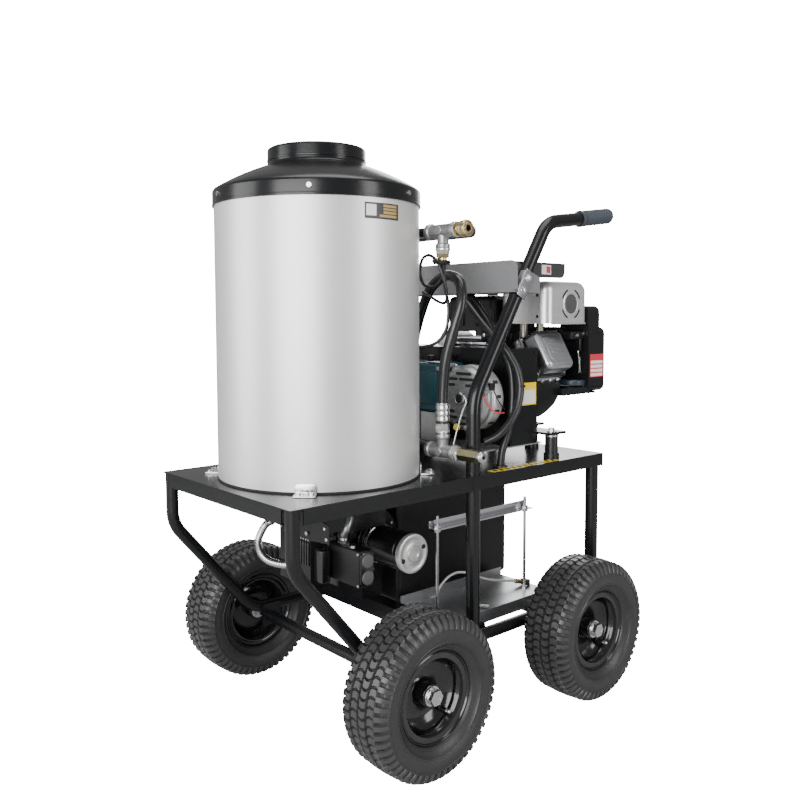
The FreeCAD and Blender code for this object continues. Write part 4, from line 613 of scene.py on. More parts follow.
def tank():
    """The jacket with its seam and a foot ring of painted shade, and the domed lid with its collar."""
    jacket = [(221, 560), (221, 1143.6), (223, 1143.6), (223, 558.2), (221.6, 557.2), (62.5, 557.2),
              (62.5, 560), (221, 560)]
    lathe("jacket", jacket, TANK, UP, "tank_steel", segments=256, sharp=30, hides=["tank_jacket"])
    angle = math.radians(118)
    across = Vector((-math.sin(angle), math.cos(angle), 0))
    away = Vector((math.cos(angle), math.sin(angle), 0))
    seam = [TANK + away * (JACKET + lift) + across * reach + Vector((0, 0, z)) for z in (559, 1141)
            for reach, lift in ((-5.5, -0.6), (-5.5, 0.9), (5.5, 0.9), (5.5, -0.6))]
    piece("jacket_seam", seam, [(0, 1, 5, 4), (1, 2, 6, 5), (2, 3, 7, 6), (0, 3, 2, 1), (4, 5, 6, 7)],
          "tank_steel")
    dome = [(223.5, 1142.4), (224.4, 1142), (226.6, 1142.6), (227, 1144.5), (226.2, 1147), (226, 1150),
            (226, 1171), (225.2, 1174.5), (222.5, 1177.5)]
    bulge = [(206, 1187.4), (188, 1197.0), (168, 1206.8), (148, 1215.6), (128, 1223.4), (114, 1228.2)]
    neck = [(110.4, 1229.6), (108.0, 1232), (107, 1236), (107, 1263.5), (106.2, 1266.4), (104, 1268),
            (95, 1268), (93, 1267), (93, 1265), (103, 1265), (104, 1263), (104, 1228), (150, 1211),
            (220, 1174), (223.5, 1168), (223.5, 1142.4)]
    lathe("dome", dome + bulge + neck, TANK, UP, "frame_black", segments=256, sharp=40, hides=["tank_lid"])
    lathe("collar_bead", [(107, 1240), (108.0, 1240.6), (108.4, 1242), (108.0, 1243.4), (107, 1244)], TANK,
          UP, "frame_black", segments=192)
    # A dark ring of painted shade where the jacket meets the deck.
    lathe("jacket_foot", [(223, 557.1), (224.6, 557.1), (224.6, 559.4), (223, 561.4)], TANK, UP,
          "dark_hole", segments=192)


tank()


# ---- frame: grips, clips, handle plates ----

HANDLE_RISE = Vector((243, 0, 32)).normalized()
LEAN = Vector((250, 0, 399)).normalized()


def grip(side, sign):
    """A moulded grip with a collar, shallow rings and a rounded end."""
    start = Vector((473, sign * 236.5, 1159)) - HANDLE_RISE * 121
    profile = [(16.1, 0), (19.2, 0), (20.4, 1.2), (20.4, 4.5), (19.4, 6.5)]
    for ring in range(9):
        at = 16 + ring * 11
        profile += [(19.5, at), (18.9, at + 1.2), (18.9, at + 2.4), (19.5, at + 3.6)]
    profile += [(19.5, 114)] + arc((10.5, 116), 9, 0, 90, 6) + [(0, 125.4)]
    lathe(f"{side}_grip", profile, start, HANDLE_RISE, "grip_rubber", segments=64, hides=["handle_grips"])


def tank_clip(index, angle):
    """A bent zinc clip: a foot bolted to the deck, and a tab against the jacket."""
    spin = ((TANK.x, TANK.y, 0), UP, angle)
    block(f"clip_foot_{index}", (TANK.x + 224.6, -22, 557.1), (TANK.x + 256, 22, 561), "zinc", bevel=0.8,
          turn=spin, hides=["zinc_brackets"])
    tab = prism(f"clip_tab_{index}", [(-22, 559), (22, 559), (22, 574), (17, 580), (-17, 580), (-22, 574)],
                TANK.x + 224.3, "X", 2.8, "zinc", bevel=0.6)
    rotate(tab, *spin)
    for number, across in enumerate((-13, 13)):
        bolt = nut(f"clip_nut_{index}_{number}", (TANK.x + 246, across, 561), UP, 9, 4.5, "bright_nut")
        rotate(bolt, *spin)


def handle_plate(side, sign):
    """The plate that ties the console to an upright, with two round-head bolts and a bent edge."""
    middle = Vector((132, 0, 979))
    across = Vector((LEAN.z, 0, -LEAN.x))
    outline = []
    for along, aside in ((-35, -13), (-33, 16), (31, 16), (35, 12), (33, -15), (-31, -15)):
        point = middle + LEAN * along + across * aside
        outline.append((point.x, point.z))
    out = sign * 253.2
    prism(f"{side}_handle_plate", outline, min(out, out + sign * 3), "Y", 3, "zinc", bevel=0.7,
          hides=["zinc_brackets"])
    corners = []
    for along, aside in ((-27, -15), (27, -15), (27, -17.6), (-27, -17.6)):
        point = middle + LEAN * along + across * aside
        corners.append((point.x, point.z))
    prism(f"{side}_handle_flange", corners, min(sign * 256.2, sign * 241), "Y", 15.2, "zinc")
    for number, along in enumerate((-17, 17)):
        at = middle + LEAN * along + Vector((0, sign * 256.2, 0))
        profile = [(8.6, 0), (8.6, 1.6), (6.8, 1.7), (6.8, 3.4)] + arc((0, 3.2), 6.6, 20, 88, 5) + [(0, 9.8)]
        profile = [(radius, height if height < 4 else 3.4 + (height - 3.4) * 0.45)
                   for radius, height in profile]
        lathe(f"{side}_plate_bolt_{number}", profile, at, (0, sign, 0), "bright_nut", segments=36)


def hood_skin(side, sign):
    """The console hood's darker end, with its slanted upper edge and rounded lower corner."""
    outline = [(143, 1033.4), (322.4, 1033.4)] + arc((306.5, 1014.5), 16, 0, -90, 6) + [(227, 998.4)]
    prism(f"{side}_hood_skin", outline, min(sign * 219.1, sign * 219.8), "Y", 0.7, "hood_grey", bevel=0)


for side_name, side_sign in SIDES:
    grip(side_name, side_sign)
    hood_skin(side_name, side_sign)
    handle_plate(side_name, side_sign)
for clip_index, clip_angle in enumerate((-133, -42, 45, 135)):
    tank_clip(clip_index, clip_angle)


def deck_bushes():
    """The rubber bush where a cable loom passes through the deck, and a collar round the filler neck."""
    ring = [(9.2, -4), (9.2, 2.5), (11, 4), (15.5, 3.4), (16.2, 1), (16.2, 0), (12.6, 0), (12.6, -4),
            (9.2, -4)]
    lathe("loom_bush", ring, (98, -212, DECK), UP, "cable_black", segments=40)
    collar = [(22.2, 0.2), (22.2, 3), (31, 3), (33, 2), (33, 0.2), (22.2, 0.2)]
    lathe("neck_collar", collar, (330, 185, DECK), UP, "plastic_black", segments=48)


deck_bushes()

# ---- burner, its motor and its box ----

MOTOR = (-115, 376)  # the motor's axis, in X and Z


def burner_motor():
    """A glossy motor can with clamp bands, and a cast end cap with two recessed screws, whose recesses are
    painted shade.
    """
    start = (MOTOR[0], 0, MOTOR[1])
    can = [(0, 0.2), (47, 0.2), (47, 11.6), (44.6, 12), (44.6, 16), (44, 16.4), (44, 118), (44.6, 118.6),
           (44.6, 122.4), (44, 123), (44, 133), (0, 133)]
    lathe("motor_can", can, start, LEFT, "motor_black", hides=["burner_motor"])
    bands = ((3, 6.4, 48.2), (14, 17.6, 45.8), (22.5, 25.4, 45.4), (29, 31.2, 45.2))
    for index, (low, high, wide) in enumerate(bands):
        band = [(43.5, low), (wide, low + 0.5), (wide, high - 0.5), (43.5, high)]
        lathe(f"motor_band_{index}", band, start, LEFT, "bright_steel")
    cap = [(0, 133), (44.6, 133), (45, 134), (45, 142), (44, 144.2), (41.5, 145), (37, 145), (35.6, 144.2),
           (24, 144.2), (22.6, 145), (19, 145), (18.4, 144.4), (17.6, 144.6), (17.6, 147), (16.4, 148),
           (11.6, 148), (10.4, 146.6), (0, 146.6)]
    lathe("motor_cap", cap, start, LEFT, "cast_bright", hides=["motor_end_cap"])
    # The screws' recesses are discs of painted shade.
    for index, angle in enumerate((20, 200)):
        x, z = around(MOTOR, 33, math.radians(angle))
        lathe(f"cap_screw_{index}", [(0, 0.6), (3.4, 0.6), (3.6, 1.2), (5.4, 1.2), (5.6, 0), (0, 0)],
              (x, -144.2, z), LEFT, "dark_hole", segments=28)


def ignition_box():
    """A dark box with a black faceplate that carries two round caps."""
    block("ignition_case", (-290, -168, 340), (-251, -54, 418), "plastic_black", bevel=2.5,
          hides=["ignition_box"])
    block("ignition_bracket", (-262, -58, 404), (-252, -50.6, 430), "frame_black", bevel=0.8)
    plate = [(-288, 350), (-282, 342), (-259, 342), (-253, 348), (-253, 410), (-259, 416), (-282, 416),
             (-288, 410)]
    prism("ignition_plate", plate, -171.4, "Y", 3.6, "motor_black", bevel=1.2)
    for index, z in enumerate((361, 397)):
        cap = [(0, 0), (15, 0), (15, 2.4), (13.6, 3.6), (6, 4.2), (0, 4.2)]
        lathe(f"ignition_cap_{index}", cap, (-270.5, -171.2, z), LEFT, "cap_grey", segments=48)
    nut("ignition_nut", (-270, -90, 418), UP, 22, 7, "bright_steel")
    lathe("ignition_gland", [(0, 7), (8.6, 7), (8.6, 15), (7.4, 17), (0, 17)], (-270, -90, 418), UP,
          "bright_steel", segments=32)
    lathe("ignition_lug", [(0, 0), (9, 0), (9, 5), (6, 8), (0, 8)], (-277, -128, 418), UP, "motor_black",
          segments=32)
    corners = [(-290, y, z) for y in (-164, -60) for z in (345, 412)]
    screws("ignition_screw", (3.2, 2.8, 1.5, 1.9), corners, FRONT, segments=20)
    nut("ignition_side_nut", (-292, -150, 424), UP, 8, 5, "bright_nut")


def burner_lines():
    """The corrugated conduit, the igniter's lead, and the bolts, ribs and side panel of the housing."""
    conduit = [(-331, 96, 441), (-340, 108, 434), (-340, 130, 411), (-340, 145, 386), (-340, 138, 364),
               (-340, 112, 351), (-338, 75, 349), (-334, 34, 354), (-330, 4, 366)]
    tube("conduit", conduit, lambda share: 8.0 + 1.1 * math.sin(share * 230), "bright_steel", segments=24,
         steps=40)
    hose = [(-256, -94, 474), (-263, -98, 462), (-270, -98, 450), (-272, -94, 440), (-270, -90, 430)]
    tube("igniter_lead", hose, 8.4, "tray_steel", segments=20, steps=10)
    nuts("throat_bolt", [(-330, y, z) for y in (-40, 58) for z in (440, 470)], FRONT, 9, 4.5)
    for index in range(6):
        x, z = around(MOTOR, 69, math.radians(30 + index * 60))
        nut(f"drum_bolt_{index}", (x, 2, z), LEFT, 8, 4)
    for index in range(6):
        y = -46 + index * 9
        block(f"filter_rib_{index}", (-333.2, y, 368), (-329.6, y + 5, 420), "motor_black", bevel=1.4)
        screw(f"filter_rib_screw_{index}", (2.4, 2, 1.4, 1.8), (-330, y + 2.5, 425.5), FRONT, segments=16)
    block("filter_side", (-322, -82, 336), (-300, -50.4, 406), "motor_black", bevel=1.5)
    side = [(-331, -52, 426), (-331, -118, 432), (-331, -118, 470), (-331, -52, 482)]
    panel = [Vector(point) + Vector((step, 0, 0)) for step in (0, 2.4) for point in side]
    piece("burner_side_panel", panel, [(0, 1, 2, 3), (4, 5, 6, 7)] + belt(4), "frame_black")
    screws("panel_screw", (4, 3.4, 2, 2.8), [(-331, -110, 440), (-331, -104, 462)], FRONT, "bright_nut")


burner_motor()
ignition_box()
burner_lines()

# ---- engine ----

CRANK_Z = 718  # the crankshaft's height
BANK = 60  # each cylinder's lean from upright, in degrees
INLET = (514, 0, 792)  # the middle of the blower's inlet
OUTLET, SHIELD_FACE = (375, 936), -200.2  # the exhaust's outlet in X and Z, and the wall that it stands on


def rounded_cover(name, sign):
    """A valve cover: a flanged base, a deeply rounded body and a pressed panel on its face."""
    pivot = (332, 0, CRANK_Z)
    low, high, half, middle = CRANK_Z + 166, CRANK_Z + 219, 54, 329
    metal = "aluminium"
    parts = [
        block(f"{name}_head", (middle - 58, -57, low - 22), (middle + 58, 57, low - 0.6), metal, bevel=5),
        block(f"{name}_gasket", (middle - 55, -53, low - 0.6), (middle + 55, 53, low + 0.2), "plastic_black",
              bevel=0),
        block(f"{name}_flange", (middle - half - 3, -half, low + 0.2), (middle + half + 3, half, low + 5),
              metal, bevel=1.2, hides=["valve_covers"]),
        prism(f"{name}_body", rounded_square((middle, 0), half - 1, 17), low + 4, "Z", high - low - 5, metal,
              bevel=0),
        prism(f"{name}_panel", rounded_square((middle, 0), half - 20, 8), high - 1.6, "Z", 1.6, metal,
              bevel=0.7)]
    soften(parts[3], 13, sharp=60, segments=6, angle=60)
    for index, (x, y) in enumerate(((-1, -1), (-1, 1), (1, -1), (1, 1))):
        parts.append(nut(f"{name}_bolt_{index}", (middle + x * 52, y * 49, low + 5), UP, 8, 5))
    for index, across in enumerate((-12, 0, 12)):
        parts.append(block(f"{name}_rib_{index}", (middle - 22, across - 1.6, high - 0.4),
                           (middle + 22, across + 1.6, high + 0.9), metal, bevel=0.6))
    for part in parts:
        rotate(part, pivot, REAR, BANK * sign)


def rounded_square(middle, half, radius):
    """The outline of a square with round corners."""
    outline = []
    for corner, (x, y) in enumerate(((1, 1), (-1, 1), (-1, -1), (1, -1))):
        centre = (middle[0] + x * (half - radius), middle[1] + y * (half - radius))
        outline += arc(centre, radius, corner * 90, corner * 90 + 90, 7)
    return outline


def heat_shield():
    """Screws, and a round perforated outlet with slots around it, on the muffler's shield; the screw heads,
    holes and slots are painted shade.
    """
    outlet = (OUTLET[0], SHIELD_FACE, OUTLET[1])
    lathe("outlet_ring", [(24, 0), (26, 0.9), (30, 0.9), (31.5, 0)], outlet, LEFT, "heat_shield_steel",
          segments=64)
    disc("outlet_mesh", 24.6, -0.2, 0.3, outlet, LEFT, "mesh_grey", segments=64)
    # The holes, slots and screw heads below are dark marks of painted shade.
    holes = []
    for ring, count in ((4.5, 6), (9, 12), (13.5, 18), (18, 22), (22.3, 26)):
        for step in range(count):
            x, z = around(OUTLET, ring, math.tau * step / count)
            holes.append(turned([(0, 0.5), (1.45, 0.5), (1.45, -0.1)], (x, SHIELD_FACE, z), LEFT, 8))
    joined("outlet_holes", holes, "dark_hole")
    slots = []
    for quarter in range(4):
        inner = arc(OUTLET, 35, quarter * 90 + 22, quarter * 90 + 68, 10)
        outer = arc(OUTLET, 39, quarter * 90 + 22, quarter * 90 + 68, 10)
        edge = inner + outer[::-1]
        count = len(edge)
        points = [(x, SHIELD_FACE - depth, z) for depth in (-0.2, 0.5) for x, z in edge]
        faces = [(i, i + 1, count - 2 - i, count - 1 - i) for i in range(10)]
        faces += [tuple(count + i for i in face_points) for face_points in faces]
        slots.append((points, faces + belt(count)))
    joined("outlet_slots", slots, "dark_hole")
    screws("shield_screw", (4, 3.4, 1.8, 2.4), [(277, -172, 905), (277, -172, 957)], FRONT, "dark_hole")
    block("shield_seam", (300, -197.4, 884.6), (440, -196, 889), "heat_shield_steel", bevel=0.5)


def shroud_details():
    """Ribs under the shroud, the oil filter, the throttle linkage and brackets beside it."""
    for index in range(7):
        x = 352 + index * 21
        block(f"shroud_tooth_{index}", (x, -197, 703.5), (x + 9, -174, 709), "plastic_black", bevel=1.2)
    block("shroud_rib_top", (453, -202, 862), (516, -199.5, 867), "plastic_black")
    block("shroud_rib_low", (453, -202, 716), (516, -199.5, 720), "plastic_black")
    can = [(0, 0), (30, 0), (33.5, 2), (34, 5), (34, 13), (32, 15.5), (0, 15.5)]
    lathe("oil_filter", can, (436, -160, 724), UP, "filter_blue", segments=64)
    block("linkage_bracket", (398, -186, 846), (452, -150, 866), "plastic_black", bevel=2)
    block("linkage_arm", (430, -188, 815), (440, -168, 848), "frame_black", bevel=1.5)
    rod_path = [(436, -178, 832), (434, -180, 812), (440, -179, 790), (444, -178, 768), (456, -177, 752),
                (464, -176, 738)]
    tube("throttle_rod", rod_path, 1.6, "bright_steel", segments=10)
    coil = []
    for step in range(61):
        angle = step * math.pi / 4
        coil.append((441 + 3.4 * math.cos(angle), -180 + 3.4 * math.sin(angle), 800 - step * 0.7))
    tube("throttle_spring", coil, 0.8, "bright_steel", segments=8, steps=2)
    heads = [(446, -186.5, 860), (446, -186.5, 725), (420, -186.5, 856)]
    screws("shroud_screw", (5, 4.4, 2.4, 3.2), heads, LEFT)
    screen = []
    for ring in range(4):
        radius = 14 + ring * 15
        near, far = radius - 1.6, radius + 1.6
        screen.append(turned([(near, -0.4), (near, 2.4), (far, 2.4), (far, -0.4)], INLET, REAR, 72))
    joined("inlet_rings", screen, "plastic_black")
    for index in range(8):
        spoke = block(f"inlet_spoke_{index}", (513.8, 4, 790.6), (516.2, 65, 793.4), "plastic_black",
                      bevel=0.4)
        rotate(spoke, INLET, REAR, index * 45)
    block("recoil_face", (519.4, -120, 735), (521, -75, 850), "plastic_black", bevel=0.5)
    block("recoil_face_far", (519.4, 75, 735), (521, 120, 850), "plastic_black", bevel=0.5)


def engine_sides():
    """The stay and the head bolts of each cylinder, and the parts on top of the crankcase."""
    for side, sign in SIDES:
        outline = [(252, 657), (272, 657), (302, 668), (331, 685), (350, 708), (353, 728), (353, 738),
                   (252, 738)]
        start = -186 if sign < 0 else 178
        prism(f"{side}_stay", outline, start, "Y", 8, "frame_black", bevel=1.5)
        rounded_cover(f"{side}_valve_cover", sign)
        for index, x in enumerate((286, 316, 348, 378)):
            outward, below = Vector((0, sign * 0.866, 0.5)), Vector((0, sign * 0.5, -0.866))
            at = Vector((x, 0, CRANK_Z)) + outward * 150 + below * 52
            nut(f"{side}_head_bolt_{index}", at, below, 11, 9, "cast_grey")
    block("intake_manifold", (300, -70, 792), (372, -34, 826), "engine_metal", bevel=6)
    lathe("dipstick_tube", [(0, 0), (5, 0), (5, 92), (8, 94), (8, 106), (0, 108)], (290, -70, 760),
          (-0.1, -0.16, 1), "plastic_black", segments=24)
    lathe("coil_can", [(0, 0), (19, 0), (21, 3), (21, 44), (18, 48), (0, 48)], (262, 60, 812), (-1, 0, 0.02),
          "plastic_black", segments=48)
    block("ignition_module", (236, -66, 842), (262, -20, 872), "plastic_black", bevel=3)
    screw("module_screw", (5.5, 5, 3, 4), (236, -34, 857), FRONT, "bright_nut", segments=28)
    block("engine_cowl_edge", (246, -92, 831), (252, 108, 839), "bright_steel", bevel=1.2)
    block("engine_cowl", (240, -88, 839), (258, 96, 846), "engine_metal", bevel=1.6)
    screws("cowl_screw", (4, 3.6, 2.4, 3), [(246, y, 835) for y in (-70, -30, 20, 70)], FRONT, segments=20)
    for index, y in enumerate((-55, -5, 45)):
        block(f"cleaner_rib_{index}", (258.4, y + 18, 880), (262, y + 26, 946), "plastic_black", bevel=1.2)
    lathe("cleaner_knob", [(0, 0), (14, 0), (15, 2), (15, 12), (12, 15), (0, 15)], (352, 43, 960), UP,
          "plastic_black", segments=40)


heat_shield()
shroud_details()
engine_sides()

# ---- alternator, pump and guard ----

def alternator():
    """A cast front bell with slots, a bright rear half with vents, bolts and wires; the slots, the vents and
    the hub are painted shade.
    """
    y, z = -146, 716
    centre = Vector((0, y, z))
    shell = [(5, 26.4), (15, 26.4), (16, 27.4), (16, 31), (22, 31.6), (58, 31.6), (66, 33.5), (71, 38),
             (74, 46), (76.5, 48), (76.5, 55), (74.6, 56), (74.6, 60)]
    lathe("alternator_bell", shell + [(0, 60), (0, 26.4), (5, 26.4)], centre, REAR, "cast_grey",
          hides=["alternator"])
    rear = [(0, 60.5), (74, 60.5), (75, 61.5), (75, 65), (77, 67), (77.4, 70), (77.4, 88), (76.6, 92),
            (74, 98), (69, 104), (60, 109), (48, 111.4), (20, 112), (0, 112)]
    lathe("alternator_rear", rear, centre, REAR, "cast_bright")
    # The vents, the hub and the slots below are dark marks of painted shade where the casing is open.
    for index in range(14):
        vent = block(f"alternator_vent_{index}", (70, y - 4, z + 76.6), (86, y + 4, z + 77.8), "dark_hole", 0)
        rotate(vent, centre, REAR, index * 360 / 14 + 8)
    disc("alternator_hub", 9.5, 25.6, 26.6, centre, REAR, "dark_hole", segments=40)
    lathe("alternator_ring", [(10.4, 26.2), (11, 25.4), (14.4, 25.4), (15, 26.4)], centre, REAR,
          "bright_steel", segments=48)
    rows = ((31, -46, -20), (31, 20, 46), (45, -42, 0), (45, 12, 40), (58, -32, 10))
    slots = []
    for up in (1, -1):
        for rise, first, last in rows:
            level = z + up * rise
            outline = arc((y + last, level), 3.2, -90, 90, 6) + arc((y + first, level), 3.2, 90, 270, 6)
            count = len(outline)
            points = [(x, *point) for x in (31.9, 31.1) for point in outline]
            faces = [tuple(range(count)), tuple(range(count, 2 * count))]
            slots.append((points, faces + belt(count)))
    joined("alternator_slots", slots, "dark_hole")
    for index, angle in enumerate((75, 165, 255, 345)):
        at = centre + Vector((0, *around((0, 0), 69, math.radians(angle))))
        disc(f"alternator_ear_{index}", 8.5, 33, 58, at, REAR, "cast_grey", segments=28)
        nut(f"alternator_bolt_{index}", at + Vector((33, 0, 0)), FRONT, 10, 5, look="bright_nut")
    wires = {"red": [(24, -220, 736), (33, -226, 714), (50, -229, 694), (72, -229, 686), (96, -224, 684)],
             "black": [(60, -222, 742), (70, -228, 716), (84, -229, 700), (100, -222, 692)]}
    for colour, path in wires.items():
        look = "wire_red" if colour == "red" else "cable_black"
        tube(f"alternator_{colour}_wire", path, 1.7, look, segments=10)
    block("alternator_terminal", (52, -222, 738), (68, -206, 754), "plastic_black", bevel=1.5)
    block("alternator_arm", (38, -126, 786), (46, -92, 796), "bright_steel", bevel=1.5)
    nut("alternator_arm_bolt", (38, -99, 790), FRONT, 12, 6, "bright_nut")


def pump():
    """Bolt heads, cooling ribs, a plain white label, a sight glass and a filler on the pump."""
    nuts("pump_bolt", [(56, y, z) for y in (-50, 132, 40) for z in (684, 780)], FRONT, 10, 5)
    block("pump_cover_plate", (53.6, -44, 692), (56.2, 126, 772), "pump_teal", bevel=1.2)
    for index in range(4):
        x = 70 + index * 16
        block(f"pump_rib_{index}", (x, -50, 791.4), (x + 5, 130, 794.6), "pump_teal")
    block("pump_rail", (58, -50, 600), (64, 16, 671), "cast_bright", bevel=1.5)
    block("pump_label", (58, -56, 794.6), (84, -4, 795.4), "sticker_white", bevel=0.2)
    lathe("pump_sight", [(0, 0), (11, 0), (11, 3), (8, 3.4), (8, 2), (0, 2)], (53.6, 30, 715), FRONT,
          "bright_steel", segments=40)
    lathe("pump_filler", [(0, 0), (8, 0), (8, 6), (11, 7), (11, 15), (9, 17), (0, 17)], (98, 20, 792), UP,
          "plastic_black", segments=36)
    lathe("pump_drain", [(0, 0), (6, 0), (6, 22), (8, 22), (8, 30), (0, 31)], (52, -118, 648),
          (-0.6, -0.5, 0), "sticker_yellow", segments=28)
    nuts("head_plug", [(56, 171, z) for z in (700, 732, 764)], FRONT, 19, 7, "brass")
    block("head_seam", (55.4, 198.6, 690), (141, 200.4, 694), "bright_steel", bevel=0.4)


def guard():
    """Screws round the belt guard."""
    for index, (x, z) in enumerate(((155, 608), (235, 608), (155, 818), (235, 818))):
        for side, sign in SIDES:
            screw(f"guard_{side}_screw_{index}", (4, 3.6, 1.8, 2.4), (x, sign * 200, z), (0, sign, 0),
                  "plastic_black", segments=20)
    screws("guard_face_screw", (4.6, 4, 2, 2.8), [(145, -188, 818), (145, 188, 818)], FRONT, segments=20)


def isolator_tops():
    """Two bright bands on each rubber mount under the engine plate."""
    for index, (x, y) in enumerate(((276, -220), (276, 220), (384, -70), (384, 70))):
        band = [(16, 0), (16.6, 0.4), (16.6, 5), (16, 5.4)]
        lathe(f"isolator_band_{index}", band, (x, y, 611.2), UP, "bright_steel", segments=48)
        lathe(f"isolator_waist_{index}", [(16, 0), (16.5, 0.4), (16.5, 3), (16, 3.4)], (x, y, 566), UP,
              "bright_steel", segments=48)


alternator()
pump()
guard()
isolator_tops()

# ---- pipe fittings ----

LINE_X, LINE_Y = -62.6, -184  # the upright pipework's middle
HIGH, LOW = 1093, 608  # the heights of the two tees


def tee(name, z, arm):
    """A cast tee on a black nipple; arm is +1 for an arm that points up, -1 for down."""
    start = Vector((LINE_X, -100, z))
    disc(f"{name}_nipple", 11, 6, 44, start, LEFT, "frame_black", segments=48, hides=["pipe_fittings"])
    run = [(0, 40), (15.6, 40), (17.6, 41), (18, 43), (18, 50), (17, 51.4), (15, 53), (14.8, 56), (14.8, 111),
           (15.2, 114), (17, 115.4), (17.6, 117), (17.6, 122), (16.8, 123.6), (0, 123.6)]
    lathe(f"{name}_run", run, start, LEFT, "cast_grey", segments=64)
    middle = Vector((LINE_X, LINE_Y, z))
    branch = [(0, 2), (12.6, 2), (12.6, 26), (13.2, 28), (15.8, 29.4), (16.2, 31), (16.2, 37), (15.4, 38.4),
              (0, 38.4)]
    lathe(f"{name}_branch", branch, middle, (0, 0, arm), "cast_grey", segments=56)
    boss = [(0, 8), (9.5, 8), (9.5, 16.4), (8.5, 17.4), (0, 17.4)]
    lathe(f"{name}_boss", boss, middle, FRONT, "cast_grey", segments=40)


def upper_fittings():
    """The upper tee, its nut and pressure switch, and the quick coupler."""
    tee("upper_tee", HIGH, -1)
    below = (LINE_X, LINE_Y, HIGH)
    lathe("upper_flange", [(0, 38.2), (15.4, 38.2), (16.6, 39), (16.6, 42), (15.4, 42.8), (0, 42.8)], below,
          DOWN, "bright_nut", segments=56)
    nut("upper_nut", (LINE_X, LINE_Y, 1050.2), DOWN, 27, 9, "bright_nut")
    nut("upper_brass_nut", (LINE_X, LINE_Y, 1041.4), DOWN, 25, 7, "brass")
    lathe("upper_stub", [(0, 58), (9, 58), (9, 64), (7, 66), (0, 66)], below, DOWN, "brass", segments=40)
    block("pressure_switch", (-82, -196, 1020), (-50, -173, 1029), "plastic_black", bevel=1.5)
    tube("brass_elbow", [(-66, -178, 1031), (-67, -170, 1029), (-68, -160, 1028)], 5, "brass", segments=20)
    start = (LINE_X, -224, HIGH)
    lathe("coupler_collar", [(0, 0), (15.6, 0), (16.6, 1), (16.6, 4.4), (15.4, 5.4), (0, 5.4)], start, LEFT,
          "bright_nut", segments=56)
    nut("coupler_nut", (LINE_X, -229, HIGH), LEFT, 28, 5.6, "brass")
    body = [(7.1, 10), (7.1, 37.4), (7.8, 38), (11.6, 38), (12.5, 37.2), (12.5, 9), (0, 9), (0, 10),
            (7.1, 10)]
    lathe("coupler_body", body, start, LEFT, "brass", segments=64)
    # A disc of painted shade at the floor of the coupler's socket.
    disc("coupler_floor_shade", 7.0, 10.2, 11, start, LEFT, "dark_hole", segments=40)
    lathe("coupler_lining", [(7.08, 11), (6.9, 11.2), (6.9, 24), (7.08, 24.2)], start, LEFT, "copper_socket",
          segments=48)
    sleeve = [(13, 17), (16.6, 17), (17.6, 17.8), (17.6, 21), (16.4, 22), (16.4, 25), (18, 26), (18, 34.6),
              (17, 36.6), (13.2, 37), (13, 36), (13, 17)]
    lathe("sleeve_shell", sleeve, start, LEFT, "brass", segments=72, body="coupler_sleeve",
          hides=["coupler_sleeve"])
    lathe("sleeve_band", [(16.2, 22.2), (17.4, 22.6), (17.4, 24.8), (16.2, 25.2)], start, LEFT, "bright_nut",
          segments=72, body="coupler_sleeve")
    knurls = []
    for step in range(40):
        angle = math.tau * step / 40
        across = Vector((math.cos(angle), 0, math.sin(angle)))
        aside = Vector((-math.sin(angle), 0, math.cos(angle)))
        base = Vector(start) + across * 17.9
        corners = [base + aside * a + Vector((0, -h, 0)) + across * o for h in (27.4, 33.4)
                   for a, o in ((-0.7, 0), (0, 0.5), (0.7, 0))]
        knurls.append((corners, [(0, 1, 4, 3), (1, 2, 5, 4), (0, 2, 1), (3, 4, 5)]))
    joined("sleeve_knurls", knurls, "brass", body="coupler_sleeve")


def lower_fittings():
    """The lower tee, its plated nuts, the hose's crimped ferrule and the relief valve."""
    tee("lower_tee", LOW, 1)
    up = (LINE_X, LINE_Y, LOW)
    disc("lower_stub", 11, 38, 46, up, UP, "bright_steel", segments=48)
    nut("lower_nut", (LINE_X, LINE_Y, 649.5), UP, 27.4, 21, "bright_nut")
    lathe("lower_nut_ring", [(0, 41.6), (15.4, 41.6), (16.2, 42.4), (16.2, 45), (15.4, 45.8), (0, 45.8)], up,
          UP, "bright_nut", segments=48)
    ferrule = [(12.4, 60), (13.4, 60), (13.4, 66), (15.2, 67)]
    for ring in range(3):
        at = 68 + ring * 12.5
        ferrule += [(15.9, at), (16.1, at + 1.2), (16.1, at + 8.2), (15.2, at + 9.6), (14.9, at + 11)]
    ferrule += [(15.6, 105.6), (15.4, 107), (12.2, 107.4)]
    lathe("lower_ferrule", ferrule, up, UP, "bright_steel", segments=56)
    start = (LINE_X, -224, LOW)
    nut("relief_nut", (LINE_X, -223.4, LOW), LEFT, 28, 10, "bright_nut")
    disc("relief_neck", 10.6, 8, 18, start, LEFT, "bright_nut", segments=40)
    nut("relief_hex", (LINE_X, -239, LOW), LEFT, 25.6, 58, "brass_olive", hides=["relief_valve"])
    nose = [(11.6, 72), (12.6, 74), (12.6, 78), (11.4, 80.4), (10.4, 81), (10.4, 82.2), (8.4, 83), (4.2, 83),
            (4.2, 70), (0, 70)]
    lathe("relief_nose", nose, start, LEFT, "bright_steel", segments=56)
    # The bore's walls and floor are painted shade.
    lathe("relief_bore", [(0, 71), (4.1, 71), (4.1, 82.6), (3.9, 82.6), (3.9, 71.4)], start, LEFT,
          "dark_hole", segments=32)


upper_fittings()
lower_fittings()

# ---- small cables, hoses and wires ----

